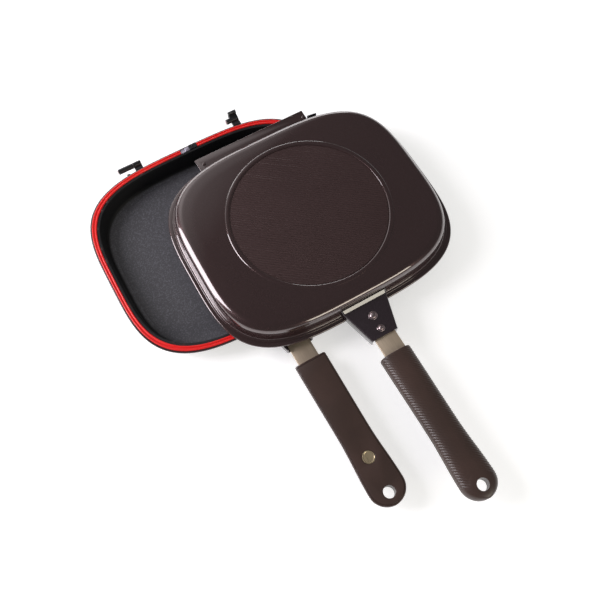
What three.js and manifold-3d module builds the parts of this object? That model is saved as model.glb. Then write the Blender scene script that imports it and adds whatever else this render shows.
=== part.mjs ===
// Double sided flip pan in millimetres, +Z up, origin at the centre of the lower half's flat base.
// Two shallow cast halves share one shape. The lower one stands open side up with a silicone seal in
// its rim, and the upper one lies face down on it, parted from the hinge and set aside.
import * as THREE from 'three';
import { mergeVertices } from 'three/addons/utils/BufferGeometryUtils.js';
import Module from 'manifold-3d';

const wasm = await Module();
wasm.setup();

// Clearances
const fitGap = 0.3; // between pieces that seat on or pass through each other
const restGap = 1.5; // between the two rim planes, taken up by the seal
const overrun = 2; // how far a cutting body reaches past what it cuts

// Pan half, measured from its outer edge inward and from its rim plane outward to the base
const panHalfLength = 154.7;
const panHalfWidth = 129;
const panDepth = 27;
const outlinePower = 3.55; // 2 is an ellipse, larger is squarer
const flangeThickness = 3.2;
const flangeEdgeRound = 0.7;
const flangeStepInset = 4.7;
const flangeStepHeight = 1;
const flangeStepRun = 0.5;
const wallInset = 7.6;
const wallRootRadius = 1.4;
const wallDraft = 2.8;
const wallThickness = 3;
const floorThickness = 3.2;
const baseEdgeRadius = 7;
const floorEdgeRadius = 6;
const mouthRound = 0.8;

// Base: a ring groove round a disc of fine straight ripples
const baseRingRadius = 96.1;
const baseRingWidth = 2.4;
const baseRingDepth = 0.8;
const ripplePitch = 3;
const rippleWidth = 1.9; // the rest of the pitch is a flat crest
const rippleDepth = 0.45;
const rippleLift = 0.2; // how far a groove's cutter reaches past the base before the next begins
const rippleMargin = 1.2; // plain band left between the ripples and the ring groove
const rippleTurn = -37; // degrees from the X axis

// Seal in the lower rim, with two ridges, and the steam vent in its gap
const sealInset = 4.7; // middle line from the flange's outer edge
const sealWidth = 5.2;
const sealGrooveDepth = 1.5;
const sealRise = 1.2;
const sealValleyWidth = 0.7;
const sealValleyDepth = 0.8;
const sealRidgeRound = 0.5;
const sealGapMiddle = 5.9; // along X, from the pan's centre line
const sealGapWidth = 22.6;
const ventBlockWidth = 9.8;
const ventBlockRise = 1.1;
const ventCapReach = 1.2; // the block's cap past the seal's outer side
const ventInsertWidth = 5.6; // its raised end beside the block
const ventInsertRise = 0.7;
const ventChannelRise = -0.7; // floor of the steam channel past the raised end

// Handle bracket, a folded sheet channel over a lug of the pan
const bracketLength = 38; // past the flange's outer edge
const bracketHeight = 12.4; // outer face above the rim plane
const bracketSheet = 1.8;
const bracketSkirtRise = 0.6;
const bracketRootHalfWidth = 26.8; // where it passes the flange's outer edge
const bracketEndHalfWidth = 16.4;
const bracketBend = 1.5;
const bracketRootBend = 3; // where its top turns up against the pan's wall
const lugHalfWidth = 13;
const lugThickness = 7.2;
const rivetRearMargin = 9; // rear rivet from the bracket's end
const rivetPitch = 17;
const rivetShankRadius = 2.2;
const rivetTailRadius = 3.4;
const rivetTailHeight = 1.1;
const rivetCollarHeight = 0.7;
const frontRivetRadius = 5.2;
const rearRivetRadius = 4.3;
const rivetDomeRise = 1.3;
const rivetDomeMargin = 1.3;

// Steel neck and grip
const neckLength = 21;
const tangWidth = 25.8;
const tangInnerWidth = 19;
const tangThickness = 3;
const tangLugGap = 0.8;
const tangEndMargin = 4.5; // steel left past the magnet
const gripLength = 178;
const gripHeight = 14.4;
const gripStartHalfWidth = 18.9;
const gripWaistHalfWidth = 18.3;
const gripEndRadius = 20.8;
const gripWaistShare = 0.6; // of the way from the grip's start to its end arc
const gripRoundPower = 2.7;
const gripSideRise = 1.2; // lower bevel of the grip's sides
const gripStartRound = 1.6;
const gripTipHeight = 9;
const gripHoleRadius = 6.6;
const gripHoleMargin = 14.5; // hanging hole's centre from the tip
const gripLip = 1.8;
const faceThickness = 2.2;
const faceBevel = 0.5;
const magnetRadius = 6.9;
const magnetMargin = 55; // magnet's centre from the tip
const magnetBevel = 0.4;
const screwRadius = 1.6;
const screwHeadRadius = 3.2;
const screwHeadHeight = 1.6;
const screwTipCover = 1.2; // grip left over the screw's tip
const screwPlaceShares = [0.2, 0.62]; // along the tang inside the grip, up to the magnet

// Hinge: two short steel pins in hooks on the lower rim, with sleeves that turn on them
const hingeSetback = 6; // pin axis behind the flange's outer edge
const hingeRise = 0.8; // pin axis above the lower rim plane
const pinRadius = 1.9;
const sleeveWall = 1.1;
const hookWidth = 10;
const hookStrapDrop = 2.8;
const hookStrapRise = 0.4;
const leftHookX = -59.5;
const rightHookX = 75.4;
const leftSleeveLength = 19;
const rightSleeveLength = 5.5;
const pinHeadLength = 0.8;
const fingerLength = 7.2;
const fingerRise = 2.6;
const fingerDrop = 1.6;
const nubX = -74.6;
const nubWidth = 4.2;
const nubLength = 2;

// Upper half's hinge cover, the saddles under it that bear on the sleeves, and the stop tab
const coverLeft = -80.5;
const coverRight = 70;
const coverOverhang = 12.2; // past the flange's outer edge
const coverThickness = 1.8;
const coverCorner = 2;
const coverRound = 0.6;
const saddleFront = 5.4; // ahead of the pin axis
const saddleMargin = 0.6;
const leftSaddleLength = 14;
const saddleSkin = 0.3; // left under the rivet's blind hole
const coverRivetRadius = 2.3;
const coverRivetShank = 1.1;
const coverRivetRise = 0.5;
const coverRivetSetback = 1.6; // from the saddle's front face
const tabLeft = 72;
const tabWidth = 10;
const tabThickness = 1.2;
const tabHeight = 7.5;
const tabOverhang = 0.8; // past the flange's edge at its right end

// Where the upper half lies, from its closed place
const apartX = 83.5;
const apartY = -41.5;

// Facets
const outlineSteps = 48;
const roundSteps = 16;
const smallRoundSteps = 10;
const ringSteps = 48;
const arcSteps = 3;
const gripSectionSteps = 12;
const gripSpanSteps = 10;
const gripTipSteps = 5;
const gripTipShare = 0.97; // of the quarter turn where the tip's last section lies

// Levels and places worked out from the sizes above
const fullTurn = 2 * Math.PI;
const quarterTurn = Math.PI / 2;
const rootHeight = flangeThickness + flangeStepHeight;
const floorHeight = panDepth - floorThickness;
const mouthInset = wallInset + wallThickness;
const discRadius = baseRingRadius - baseRingWidth / 2;
const bracketEnd = panHalfWidth + bracketLength;
const bracketRootY = panHalfWidth - wallInset - wallDraft - baseEdgeRadius;
const bracketUnder = bracketHeight - bracketSheet;
const lugTop = bracketUnder - fitGap;
const lugBottom = lugTop - lugThickness;
const rearRivetY = -(bracketEnd - rivetRearMargin);
const frontRivetY = rearRivetY + rivetPitch;
const lugEnd = (-frontRivetY - rearRivetY) / 2;
const gripStart = bracketEnd + neckLength;
const gripTip = gripStart + gripLength;
const gripArcY = gripTip - gripEndRadius;
const gripHoleY = -(gripTip - gripHoleMargin);
const magnetY = -(gripTip - magnetMargin);
const tangTop = lugTop;
const tangBottom = tangTop - tangThickness;
const tangStart = lugEnd + tangLugGap;
const tangEnd = -magnetY + magnetRadius + tangEndMargin;
const hingeY = panHalfWidth + hingeSetback;
const sleeveRadius = pinRadius + fitGap + sleeveWall;
const hingeRiseFromUpperRim = hingeRise - restGap;
const coverUnder = rootHeight + fitGap;
const coverTop = coverUnder + coverThickness;
const saddleUnder = fitGap;
const saddleFloor = saddleUnder + saddleSkin;

// Solids
function toSolid(geometry) {
  const bare = geometry.clone();
  bare.deleteAttribute('normal');
  bare.deleteAttribute('uv');
  const merged = mergeVertices(bare);
  const mesh = new wasm.Mesh({
    numProp: 3,
    vertProperties: Float32Array.from(merged.attributes.position.array),
    triVerts: Uint32Array.from(merged.index.array),
  });
  return new wasm.Manifold(mesh);
}

function toGeometry(solid) {
  const mesh = solid.getMesh();
  const geometry = new THREE.BufferGeometry();
  geometry.setAttribute('position', new THREE.BufferAttribute(Float32Array.from(mesh.vertProperties), 3));
  geometry.setIndex(new THREE.BufferAttribute(Uint32Array.from(mesh.triVerts), 1));
  geometry.computeVertexNormals();
  return geometry;
}

function join(...bodies) {
  const solids = bodies.map(toSolid);
  return toGeometry(solids.reduce((whole, next) => whole.add(next)));
}

function cut(body, ...tools) {
  const solids = tools.map(toSolid);
  return toGeometry(solids.reduce((rest, tool) => rest.subtract(tool), toSolid(body)));
}

function common(first, second) {
  return toGeometry(toSolid(first).intersect(toSolid(second)));
}

function block(low, high) {
  const size = high.map((value, axis) => value - low[axis]);
  const middle = high.map((value, axis) => (value + low[axis]) / 2);
  return new THREE.BoxGeometry(...size).translate(...middle);
}

// A flat plate of the given outline between two heights, with its edges rounded over
function plate(outline, low, high, round = 0) {
  const geometry = new THREE.ExtrudeGeometry(outline, {
    depth: high - low - 2 * round,
    bevelEnabled: round > 0,
    bevelThickness: round,
    bevelSize: round,
    bevelOffset: -round,
    bevelSegments: 1,
    curveSegments: arcSteps,
  });
  return geometry.translate(0, 0, low + round);
}

// An outline drawn in Y and Z, drawn out along X
function bar(outline, from, to) {
  const geometry = new THREE.ExtrudeGeometry(outline, {
    depth: to - from,
    bevelEnabled: false,
    curveSegments: smallRoundSteps,
  });
  const alongX = new THREE.Matrix4().makeBasis(
    new THREE.Vector3(0, 1, 0),
    new THREE.Vector3(0, 0, 1),
    new THREE.Vector3(1, 0, 0),
  );
  return geometry.applyMatrix4(alongX).translate(from, 0, 0);
}

function polygon(points) {
  return new THREE.Shape(points.map(([x, y]) => new THREE.Vector2(x, y)));
}

function disc(x, y, radius) {
  const outline = new THREE.Shape();
  outline.absarc(x, y, radius, 0, fullTurn);
  return outline;
}

// A turned piece on a vertical axis from [radius, height] points
function turned(profile, steps = smallRoundSteps) {
  const points = profile.map(([radius, height]) => new THREE.Vector2(radius, height));
  return new THREE.LatheGeometry(points, steps).rotateX(quarterTurn);
}

function post(x, y, radius, low, high, steps) {
  const profile = [[0, low], [radius, low], [radius, high], [0, high]];
  return turned(profile, steps).translate(x, y, 0);
}

function rodAlongX(y, z, radius, from, to) {
  return bar(disc(y, z, radius), from, to);
}

// Pan outline: a superellipse, drawn in from the flange's outer edge by an inset
function outlinePoint(inset, turn) {
  const reach = (part, half) => Math.sign(part) * Math.abs(part) ** (2 / outlinePower) * (half - inset);
  return [reach(Math.cos(turn), panHalfLength), reach(Math.sin(turn), panHalfWidth)];
}

function outlineY(x, inset) {
  const share = Math.abs(x) / (panHalfLength - inset);
  return (panHalfWidth - inset) * (1 - share ** outlinePower) ** (1 / outlinePower);
}

// Sweeps [inset, height] points round the outline. An open profile starts and ends in a fan at the
// pan's centre, and a closed one joins its last point to its first.
function sweepOutline(profile, closed) {
  const positions = [];
  for (const [inset, height] of profile) {
    for (let step = 0; step < outlineSteps; step += 1) {
      const [x, y] = outlinePoint(inset, (step / outlineSteps) * fullTurn);
      positions.push(x, y, height);
    }
  }
  const indices = [];
  const bands = closed ? profile.length : profile.length - 1;
  for (let band = 0; band < bands; band += 1) {
    const lower = band * outlineSteps;
    const upper = ((band + 1) % profile.length) * outlineSteps;
    for (let step = 0; step < outlineSteps; step += 1) {
      const next = (step + 1) % outlineSteps;
      indices.push(lower + step, lower + next, upper + next);
      indices.push(lower + step, upper + next, upper + step);
    }
  }
  if (!closed) {
    const last = profile.length - 1;
    const firstCentre = positions.length / 3;
    positions.push(0, 0, profile[0][1], 0, 0, profile[last][1]);
    for (let step = 0; step < outlineSteps; step += 1) {
      const next = (step + 1) % outlineSteps;
      indices.push(firstCentre, next, step);
      indices.push(firstCentre + 1, last * outlineSteps + step, last * outlineSteps + next);
    }
  }
  const geometry = new THREE.BufferGeometry();
  geometry.setAttribute('position', new THREE.Float32BufferAttribute(positions, 3));
  geometry.setIndex(indices);
  return geometry;
}

// A quarter round from the wall's direction to the level above it, centred on [inset, height]
function edgeArc(inset, height, radius) {
  return Array.from({ length: arcSteps + 1 }, (_, step) => {
    const angle = (step / arcSteps) * quarterTurn;
    return [inset - radius * Math.cos(angle), height + radius * Math.sin(angle)];
  });
}

// Outer side of a half from its rim to its base, moved outward by a clearance
function outerProfile(grow) {
  const rootArc = [0, quarterTurn].map((angle) => {
    return [
      wallInset - wallRootRadius + wallRootRadius * Math.sin(angle),
      rootHeight + wallRootRadius - wallRootRadius * Math.cos(angle),
    ];
  });
  const baseInset = wallInset + wallDraft + baseEdgeRadius;
  const baseArc = edgeArc(baseInset, panDepth - baseEdgeRadius, baseEdgeRadius);
  const points = [
    [0, flangeEdgeRound],
    [0, flangeThickness - flangeEdgeRound],
    [flangeEdgeRound, flangeThickness],
    [flangeStepInset, flangeThickness],
    [flangeStepInset + flangeStepRun, rootHeight],
    ...rootArc,
    ...baseArc,
  ];
  return points.map(([inset, height]) => [inset - grow, height + grow]);
}

// The room that a half takes up, with a clearance all round, open past the rim
function panEnvelope() {
  const rim = [[-fitGap, -overrun]];
  return sweepOutline([...rim, ...outerProfile(fitGap)], false);
}

function sealGroove() {
  const reach = sealWidth / 2 + fitGap;
  return sweepOutline([
    [sealInset + reach, -overrun],
    [sealInset - reach, -overrun],
    [sealInset - reach, sealGrooveDepth],
    [sealInset + reach, sealGrooveDepth],
  ], true);
}

// Ring groove and rippled disc, as the body that is cut away from the base
function baseRelief() {
  const crest = panDepth + rippleLift;
  const top = panDepth + overrun;
  const reach = ((rippleWidth / 2) * (rippleDepth + rippleLift)) / rippleDepth;
  const rippleRadius = discRadius - rippleMargin;
  const perSide = Math.ceil(rippleRadius / ripplePitch);
  const teeth = [[-perSide * ripplePitch, top], [-perSide * ripplePitch, crest]];
  for (let ripple = -perSide; ripple < perSide; ripple += 1) {
    const middle = ripple * ripplePitch + ripplePitch / 2;
    teeth.push([middle - reach, crest], [middle, panDepth - rippleDepth], [middle + reach, crest]);
  }
  teeth.push([perSide * ripplePitch, crest], [perSide * ripplePitch, top]);
  const comb = new THREE.ExtrudeGeometry(polygon(teeth), { depth: 2 * discRadius, bevelEnabled: false });
  comb.rotateX(quarterTurn).translate(0, discRadius, 0);
  comb.rotateZ(THREE.MathUtils.degToRad(rippleTurn) - quarterTurn);
  const low = panDepth - baseRingDepth;
  const inside = [[0, low], [rippleRadius, low], [rippleRadius, top + overrun], [0, top + overrun]];
  const ring = [
    [discRadius, low],
    [discRadius + baseRingWidth, low],
    [discRadius + baseRingWidth, top],
    [discRadius, top],
    [discRadius, low],
  ];
  return join(common(comb, turned(inside, ringSteps)), turned(ring, ringSteps));
}

// The pan casting with its handle lug, and what only one of the halves has added or cut
function panShell(added, removed) {
  const floorInset = mouthInset + wallDraft + floorEdgeRadius;
  const floorArc = edgeArc(floorInset, floorHeight - floorEdgeRadius, floorEdgeRadius);
  const inner = [...floorArc.reverse(), [mouthInset, mouthRound], [mouthInset - mouthRound, 0]];
  const rim = [[flangeEdgeRound, 0]];
  const casting = sweepOutline([...inner, ...rim, ...outerProfile(0)], false);
  const lug = block(
    [-lugHalfWidth, -lugEnd, lugBottom],
    [lugHalfWidth, -(panHalfWidth - wallInset - wallThickness / 2), lugTop],
  );
  const rivetHole = post(0, frontRivetY, rivetShankRadius + fitGap, lugBottom - overrun, lugTop + overrun);
  return cut(join(casting, lug, ...added), baseRelief(), rivetHole, ...removed);
}

// Seal cross-section: a foot in the groove and two ridges with a valley between them
function seal() {
  const half = sealWidth / 2;
  const foot = fitGap - sealGrooveDepth;
  const valley = sealValleyWidth / 2;
  const ridge = [
    [-half, foot],
    [half, foot],
    [half, sealRise - sealRidgeRound],
    [half - sealRidgeRound, sealRise],
    [valley + sealRidgeRound, sealRise],
    [valley, sealRise - sealValleyDepth],
    [-valley, sealRise - sealValleyDepth],
    [-valley - sealRidgeRound, sealRise],
    [sealRidgeRound - half, sealRise],
    [-half, sealRise - sealRidgeRound],
  ];
  const ring = sweepOutline(ridge.map(([across, height]) => [sealInset - across, height]), true);
  const gap = block(
    [sealGapMiddle - sealGapWidth / 2, 0, -panDepth],
    [sealGapMiddle + sealGapWidth / 2, panHalfWidth + overrun, panDepth],
  );
  return cut(ring, gap);
}

// The vent's two pieces lie side by side in the seal's gap
const ventStart = sealGapMiddle - sealGapWidth / 2 + fitGap;
const ventBlockEnd = sealGapMiddle + sealGapWidth / 2 - fitGap;
const ventBlockStart = ventBlockEnd - ventBlockWidth;
const ventInsertEnd = ventBlockStart - fitGap;
const ventFoot = fitGap - sealGrooveDepth;
const sealOutsideY = panHalfWidth - sealInset + sealWidth / 2;

function ventInsert() {
  const low = sealOutsideY - sealWidth;
  const body = block([ventStart, low, ventFoot], [ventInsertEnd, sealOutsideY, ventInsertRise]);
  const channel = block(
    [ventStart - overrun, 0, ventChannelRise],
    [ventInsertEnd - ventInsertWidth, panHalfWidth + overrun, panDepth],
  );
  return cut(body, channel);
}

// The block's cap lies over the rim outside the groove
function ventBlock() {
  const low = sealOutsideY - sealWidth;
  const capEnd = sealOutsideY + ventCapReach;
  const foot = block([ventBlockStart, low, ventFoot], [ventBlockEnd, sealOutsideY, ventBlockRise]);
  const cap = block([ventBlockStart, low, fitGap], [ventBlockEnd, capEnd, ventBlockRise]);
  return join(foot, cap);
}

// Handle bracket: a channel that narrows from the pan to the neck
function bracketHalfWidth(y, sheet) {
  const share = (y - panHalfWidth) / bracketLength;
  return bracketRootHalfWidth + (bracketEndHalfWidth - bracketRootHalfWidth) * share - sheet;
}

function bracketOutline(from, to, sheet) {
  return polygon([
    [-bracketHalfWidth(from, sheet), -from],
    [-bracketHalfWidth(to, sheet), -to],
    [bracketHalfWidth(to, sheet), -to],
    [bracketHalfWidth(from, sheet), -from],
  ]);
}

// Root of the bracket's top, turned up against the pan's wall in a hollow bend
function bracketRoot() {
  const wallFoot = panHalfWidth - wallInset;
  const bendY = -(wallFoot + bracketRootBend);
  const bendZ = bracketHeight + bracketRootBend;
  const outline = [[-bracketRootY, bracketUnder], [-bracketRootY, bendZ]];
  for (let step = 0; step <= arcSteps; step += 1) {
    const angle = (step / arcSteps) * quarterTurn;
    outline.push([bendY + bracketRootBend * Math.cos(angle), bendZ - bracketRootBend * Math.sin(angle)]);
  }
  outline.push([bendY, bracketUnder]);
  const half = bracketHalfWidth(wallFoot, bracketBend);
  return bar(polygon(outline.reverse()), -half, half);
}

function bracket() {
  const root = bracketRootY;
  const top = plate(bracketOutline(root, bracketEnd, 0), -overrun, bracketHeight, bracketBend);
  const shell = join(top, bracketRoot());
  const insideOutline = bracketOutline(root - overrun, bracketEnd + overrun, bracketSheet);
  const inside = plate(insideOutline, -panDepth, bracketUnder);
  const width = panHalfLength;
  const belowSkirt = block([-width, -bracketEnd - overrun, -panDepth], [width, 0, bracketSkirtRise]);
  const holes = [frontRivetY, rearRivetY].map((y) => (
    post(0, y, rivetShankRadius + fitGap, bracketUnder - overrun, bracketHeight + overrun)
  ));
  return cut(shell, inside, belowSkirt, panEnvelope(), ...holes);
}

// Rivet on the bracket's outer face, a collar with a dome on it, and its tail under what it holds
function bracketRivet(headRadius, underside) {
  const head = bracketHeight + fitGap;
  const collar = head + rivetCollarHeight;
  const domeRadius = headRadius - rivetDomeMargin;
  const dome = Array.from({ length: arcSteps + 1 }, (_, step) => {
    const angle = (step / arcSteps) * quarterTurn;
    return [domeRadius * Math.cos(angle), collar + rivetDomeRise * Math.sin(angle)];
  });
  const tail = underside - fitGap;
  dome[arcSteps][0] = 0;
  return turned([
    [0, tail - rivetTailHeight],
    [rivetTailRadius, tail - rivetTailHeight],
    [rivetTailRadius, tail],
    [rivetShankRadius, tail],
    [rivetShankRadius, head],
    [headRadius, head],
    [headRadius, collar],
    ...dome,
  ], roundSteps);
}

// Places of the two screws that hold the tang in the grip
const screwPlaces = screwPlaceShares.map((share) => -(gripStart + (-magnetY - gripStart) * share));
const screwTip = gripHeight - screwTipCover;
const pocketTop = faceThickness + fitGap; // of the grip's pocket for its flat face
const screwSeat = pocketTop + fitGap;
const screwHeadTop = screwSeat + screwHeadHeight;

// Steel strip from the bracket through the neck to the magnet
function tang() {
  const neckEdge = gripStart + tangThickness;
  const innerEdge = neckEdge + (tangWidth - tangInnerWidth) / 2;
  const outline = polygon([
    [-tangWidth / 2, -tangStart],
    [-tangWidth / 2, -neckEdge],
    [-tangInnerWidth / 2, -innerEdge],
    [-tangInnerWidth / 2, -tangEnd],
    [tangInnerWidth / 2, -tangEnd],
    [tangInnerWidth / 2, -innerEdge],
    [tangWidth / 2, -neckEdge],
    [tangWidth / 2, -tangStart],
  ]);
  const strip = plate(outline, tangBottom, tangTop);
  const rivetHole = post(0, rearRivetY, rivetShankRadius + fitGap, 0, bracketHeight);
  const screwHoles = screwPlaces.map((y) => post(0, y, screwRadius + fitGap, 0, bracketHeight));
  return cut(strip, rivetHole, ...screwHoles);
}

// Grip outline: nearly straight, drawn in at the waist, wider to the round end
function gripHalfWidth(distance) {
  const share = (distance - gripStart) / (gripArcY - gripStart);
  const ease = (part) => (1 - Math.cos(part * Math.PI)) / 2;
  if (share < gripWaistShare) {
    return gripStartHalfWidth + (gripWaistHalfWidth - gripStartHalfWidth) * ease(share / gripWaistShare);
  }
  const rest = (share - gripWaistShare) / (1 - gripWaistShare);
  return gripWaistHalfWidth + (gripEndRadius - gripWaistHalfWidth) * ease(rest);
}

function gripOutline(inset) {
  const side = Array.from({ length: gripSpanSteps + 1 }, (_, step) => {
    const distance = gripStart + inset + ((gripArcY - gripStart - inset) * step) / gripSpanSteps;
    return [gripHalfWidth(distance) - inset, -distance];
  });
  const radius = gripEndRadius - inset;
  const tip = Array.from({ length: 2 * gripTipSteps - 1 }, (_, step) => {
    const angle = ((step + 1) / (2 * gripTipSteps)) * Math.PI;
    return [radius * Math.cos(angle), -gripArcY - radius * Math.sin(angle)];
  });
  const otherSide = side.map(([x, y]) => [-x, y]).reverse();
  return polygon([...side, ...tip, ...otherSide]);
}

// One cross-section of the grip: flat on the parting side, rounded over on the outside
function gripSection(y, halfWidth, height) {
  const rise = Math.min(gripSideRise, height / 2);
  const inner = halfWidth - Math.min(gripSideRise, halfWidth / 2);
  const points = [[inner, 0]];
  for (let step = 0; step <= gripSectionSteps; step += 1) {
    const angle = (step / gripSectionSteps) * Math.PI;
    const across = Math.sign(Math.cos(angle)) * Math.abs(Math.cos(angle)) ** (2 / gripRoundPower);
    const up = Math.abs(Math.sin(angle)) ** (2 / gripRoundPower);
    points.push([halfWidth * across, rise + (height - rise) * up]);
  }
  points.push([-inner, 0]);
  return points.map(([x, z]) => [x, y, z]);
}

function loft(sections) {
  const count = sections[0].length;
  const indices = [];
  for (let band = 0; band < sections.length - 1; band += 1) {
    for (let step = 0; step < count; step += 1) {
      const next = (step + 1) % count;
      const near = band * count;
      const far = near + count;
      indices.push(near + step, near + next, far + next);
      indices.push(near + step, far + next, far + step);
    }
  }
  const last = (sections.length - 1) * count;
  for (let step = 1; step < count - 1; step += 1) {
    indices.push(0, step + 1, step);
    indices.push(last, last + step, last + step + 1);
  }
  const geometry = new THREE.BufferGeometry();
  geometry.setAttribute('position', new THREE.Float32BufferAttribute(sections.flat(2), 3));
  geometry.setIndex(indices);
  return geometry;
}

function gripBody() {
  const startHalfWidth = gripStartHalfWidth - gripStartRound;
  const sections = [gripSection(-gripStart, startHalfWidth, gripHeight - gripStartRound)];
  for (let step = 0; step <= gripSpanSteps; step += 1) {
    const first = gripStart + gripStartRound;
    const distance = first + ((gripArcY - first) * step) / gripSpanSteps;
    sections.push(gripSection(-distance, gripHalfWidth(distance), gripHeight));
  }
  for (let step = 1; step <= gripTipSteps; step += 1) {
    const angle = (step / gripTipSteps) * gripTipShare * quarterTurn;
    const height = gripTipHeight + (gripHeight - gripTipHeight) * Math.cos(angle);
    const distance = gripArcY + gripEndRadius * Math.sin(angle);
    sections.push(gripSection(-distance, gripEndRadius * Math.cos(angle), height));
  }
  return loft(sections);
}

// Grip shell with the slot for the tang and the pocket for its flat face
function gripShell() {
  const slotHalf = tangWidth / 2 + fitGap;
  const slot = block(
    [-slotHalf, -(tangEnd + fitGap), tangBottom - fitGap],
    [slotHalf, -(gripStart - overrun), tangTop + fitGap],
  );
  const pocket = plate(gripOutline(gripLip), -overrun, pocketTop);
  const hole = post(0, gripHoleY, gripHoleRadius, -overrun, gripHeight + overrun, roundSteps);
  const magnetHole = post(0, magnetY, magnetRadius + fitGap, -overrun, tangBottom, roundSteps);
  const screwHoles = screwPlaces.flatMap((y) => [
    post(0, y, screwRadius + fitGap, -overrun, screwTip + fitGap),
    post(0, y, screwHeadRadius + fitGap, -overrun, screwHeadTop),
  ]);
  return cut(gripBody(), slot, pocket, hole, magnetHole, ...screwHoles);
}

function gripFace() {
  const face = plate(gripOutline(gripLip + fitGap), 0, faceThickness, faceBevel);
  const hole = post(0, gripHoleY, gripHoleRadius, -overrun, faceThickness + overrun, roundSteps);
  const magnetHole = post(0, magnetY, magnetRadius + fitGap, -overrun, faceThickness + overrun, roundSteps);
  return cut(face, hole, magnetHole);
}

function magnet() {
  return turned([
    [0, 0],
    [magnetRadius - magnetBevel, 0],
    [magnetRadius, magnetBevel],
    [magnetRadius, tangBottom - fitGap],
    [0, tangBottom - fitGap],
  ], roundSteps);
}

function gripScrew() {
  const shoulder = screwHeadTop - fitGap;
  return turned([
    [0, screwSeat],
    [screwHeadRadius, screwSeat],
    [screwHeadRadius, shoulder],
    [screwRadius, shoulder],
    [screwRadius, screwTip],
    [0, screwTip],
  ]);
}

// Hinge hook on the lower rim: a strap on the flange's edge with an eye round the pin
function hook(middle, withFinger) {
  const left = middle - hookWidth / 2;
  const right = middle + hookWidth / 2;
  const strap = block([left, panHalfWidth - mouthInset, -hookStrapDrop], [right, hingeY, hookStrapRise]);
  const eye = rodAlongX(hingeY, hingeRise, sleeveRadius, left, right);
  const finger = polygon([
    [hingeY, hingeRise - fingerDrop],
    [hingeY + fingerLength, hingeRise - fingerDrop + fitGap],
    [hingeY + fingerLength, hingeRise + fingerRise],
    [hingeY + fingerLength - fingerRise, hingeRise + fingerRise],
    [hingeY, hingeRise + pinRadius + fitGap],
  ]);
  const pieces = withFinger ? [strap, eye, bar(finger, left, right)] : [strap, eye];
  const boreRadius = pinRadius + fitGap;
  const bore = rodAlongX(hingeY, hingeRise, boreRadius, left - overrun, right + overrun);
  const rim = panEnvelope().rotateY(Math.PI);
  return cut(join(...pieces), rim, bore);
}

function hingePin(middle, sleeveLength) {
  const right = middle + hookWidth / 2;
  const sleeveEnd = middle - hookWidth / 2 - fitGap - sleeveLength;
  const left = sleeveEnd - fitGap;
  const shaft = rodAlongX(hingeY, hingeRise, pinRadius, left - pinHeadLength, right);
  const head = rodAlongX(hingeY, hingeRise, pinRadius + fitGap + sleeveWall / 2, left - pinHeadLength, left);
  return join(shaft, head);
}

function hingeSleeve(middle, sleeveLength) {
  const right = middle - hookWidth / 2 - fitGap;
  const left = right - sleeveLength;
  const boreRadius = pinRadius + fitGap;
  const outside = rodAlongX(hingeY, hingeRise, sleeveRadius, left, right);
  const bore = rodAlongX(hingeY, hingeRise, boreRadius, left - overrun, right + overrun);
  return cut(outside, bore);
}

// Small cast nub on the lower rim's edge beside the left sleeve, in the turned frame of that half
function rimNub() {
  const edge = outlineY(nubX, 0);
  return block(
    [-nubX - nubWidth / 2, edge - flangeEdgeRound - fitGap, flangeEdgeRound],
    [-nubX + nubWidth / 2, edge + nubLength, flangeThickness - flangeEdgeRound / 2],
  );
}

// Upper half's hinge cover, a plate that rests on the flange and reaches over the pins
function hingeCover(rivetPlaces) {
  const inner = bracketRootY;
  const outer = panHalfWidth + coverOverhang;
  const outline = new THREE.Shape();
  outline.moveTo(coverLeft, inner);
  outline.lineTo(coverRight, inner);
  outline.lineTo(coverRight, outer - coverCorner);
  outline.absarc(coverRight - coverCorner, outer - coverCorner, coverCorner, 0, quarterTurn);
  outline.lineTo(coverLeft + coverCorner, outer);
  outline.absarc(coverLeft + coverCorner, outer - coverCorner, coverCorner, quarterTurn, 2 * quarterTurn);
  const holes = rivetPlaces.map(([x, y]) => (
    post(x, y, coverRivetShank + fitGap, coverUnder - overrun, coverTop + overrun)
  ));
  return cut(plate(outline, coverUnder, coverTop, coverRound), panEnvelope(), ...holes);
}

// Saddle under the cover, hollowed to the sleeve's radius
function saddle(left, right, rivetY) {
  const body = block(
    [left, hingeY - saddleFront, saddleUnder],
    [right, hingeY, coverUnder - fitGap],
  );
  const seat = rodAlongX(
    hingeY, hingeRiseFromUpperRim, sleeveRadius + fitGap, left - overrun, right + overrun,
  );
  const blind = post((left + right) / 2, rivetY, coverRivetShank + fitGap, saddleFloor, coverUnder);
  return cut(body, seat, blind);
}

function coverRivet() {
  const head = coverTop + fitGap;
  const foot = saddleFloor + fitGap;
  return turned([
    [0, foot],
    [coverRivetShank, foot],
    [coverRivetShank, head],
    [coverRivetRadius, head],
    [coverRivetRadius - coverRivetRise, head + coverRivetRise],
    [0, head + coverRivetRise],
  ]);
}

// Stop tab on the upper flange beside the cover: a foot with an upright edge just past the rim
function stopTab() {
  const right = tabLeft + tabWidth;
  const face = outlineY(right, 0) + tabOverhang;
  const footStart = outlineY(tabLeft, flangeStepInset) + fitGap;
  const foot = flangeThickness + fitGap;
  const outline = polygon([
    [footStart, foot],
    [face, foot],
    [face, foot + tabHeight],
    [face - tabThickness, foot + tabHeight],
    [face - tabThickness, foot + tabThickness],
    [footStart, foot + tabThickness],
  ]);
  return bar(outline, tabLeft, right);
}

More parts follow.
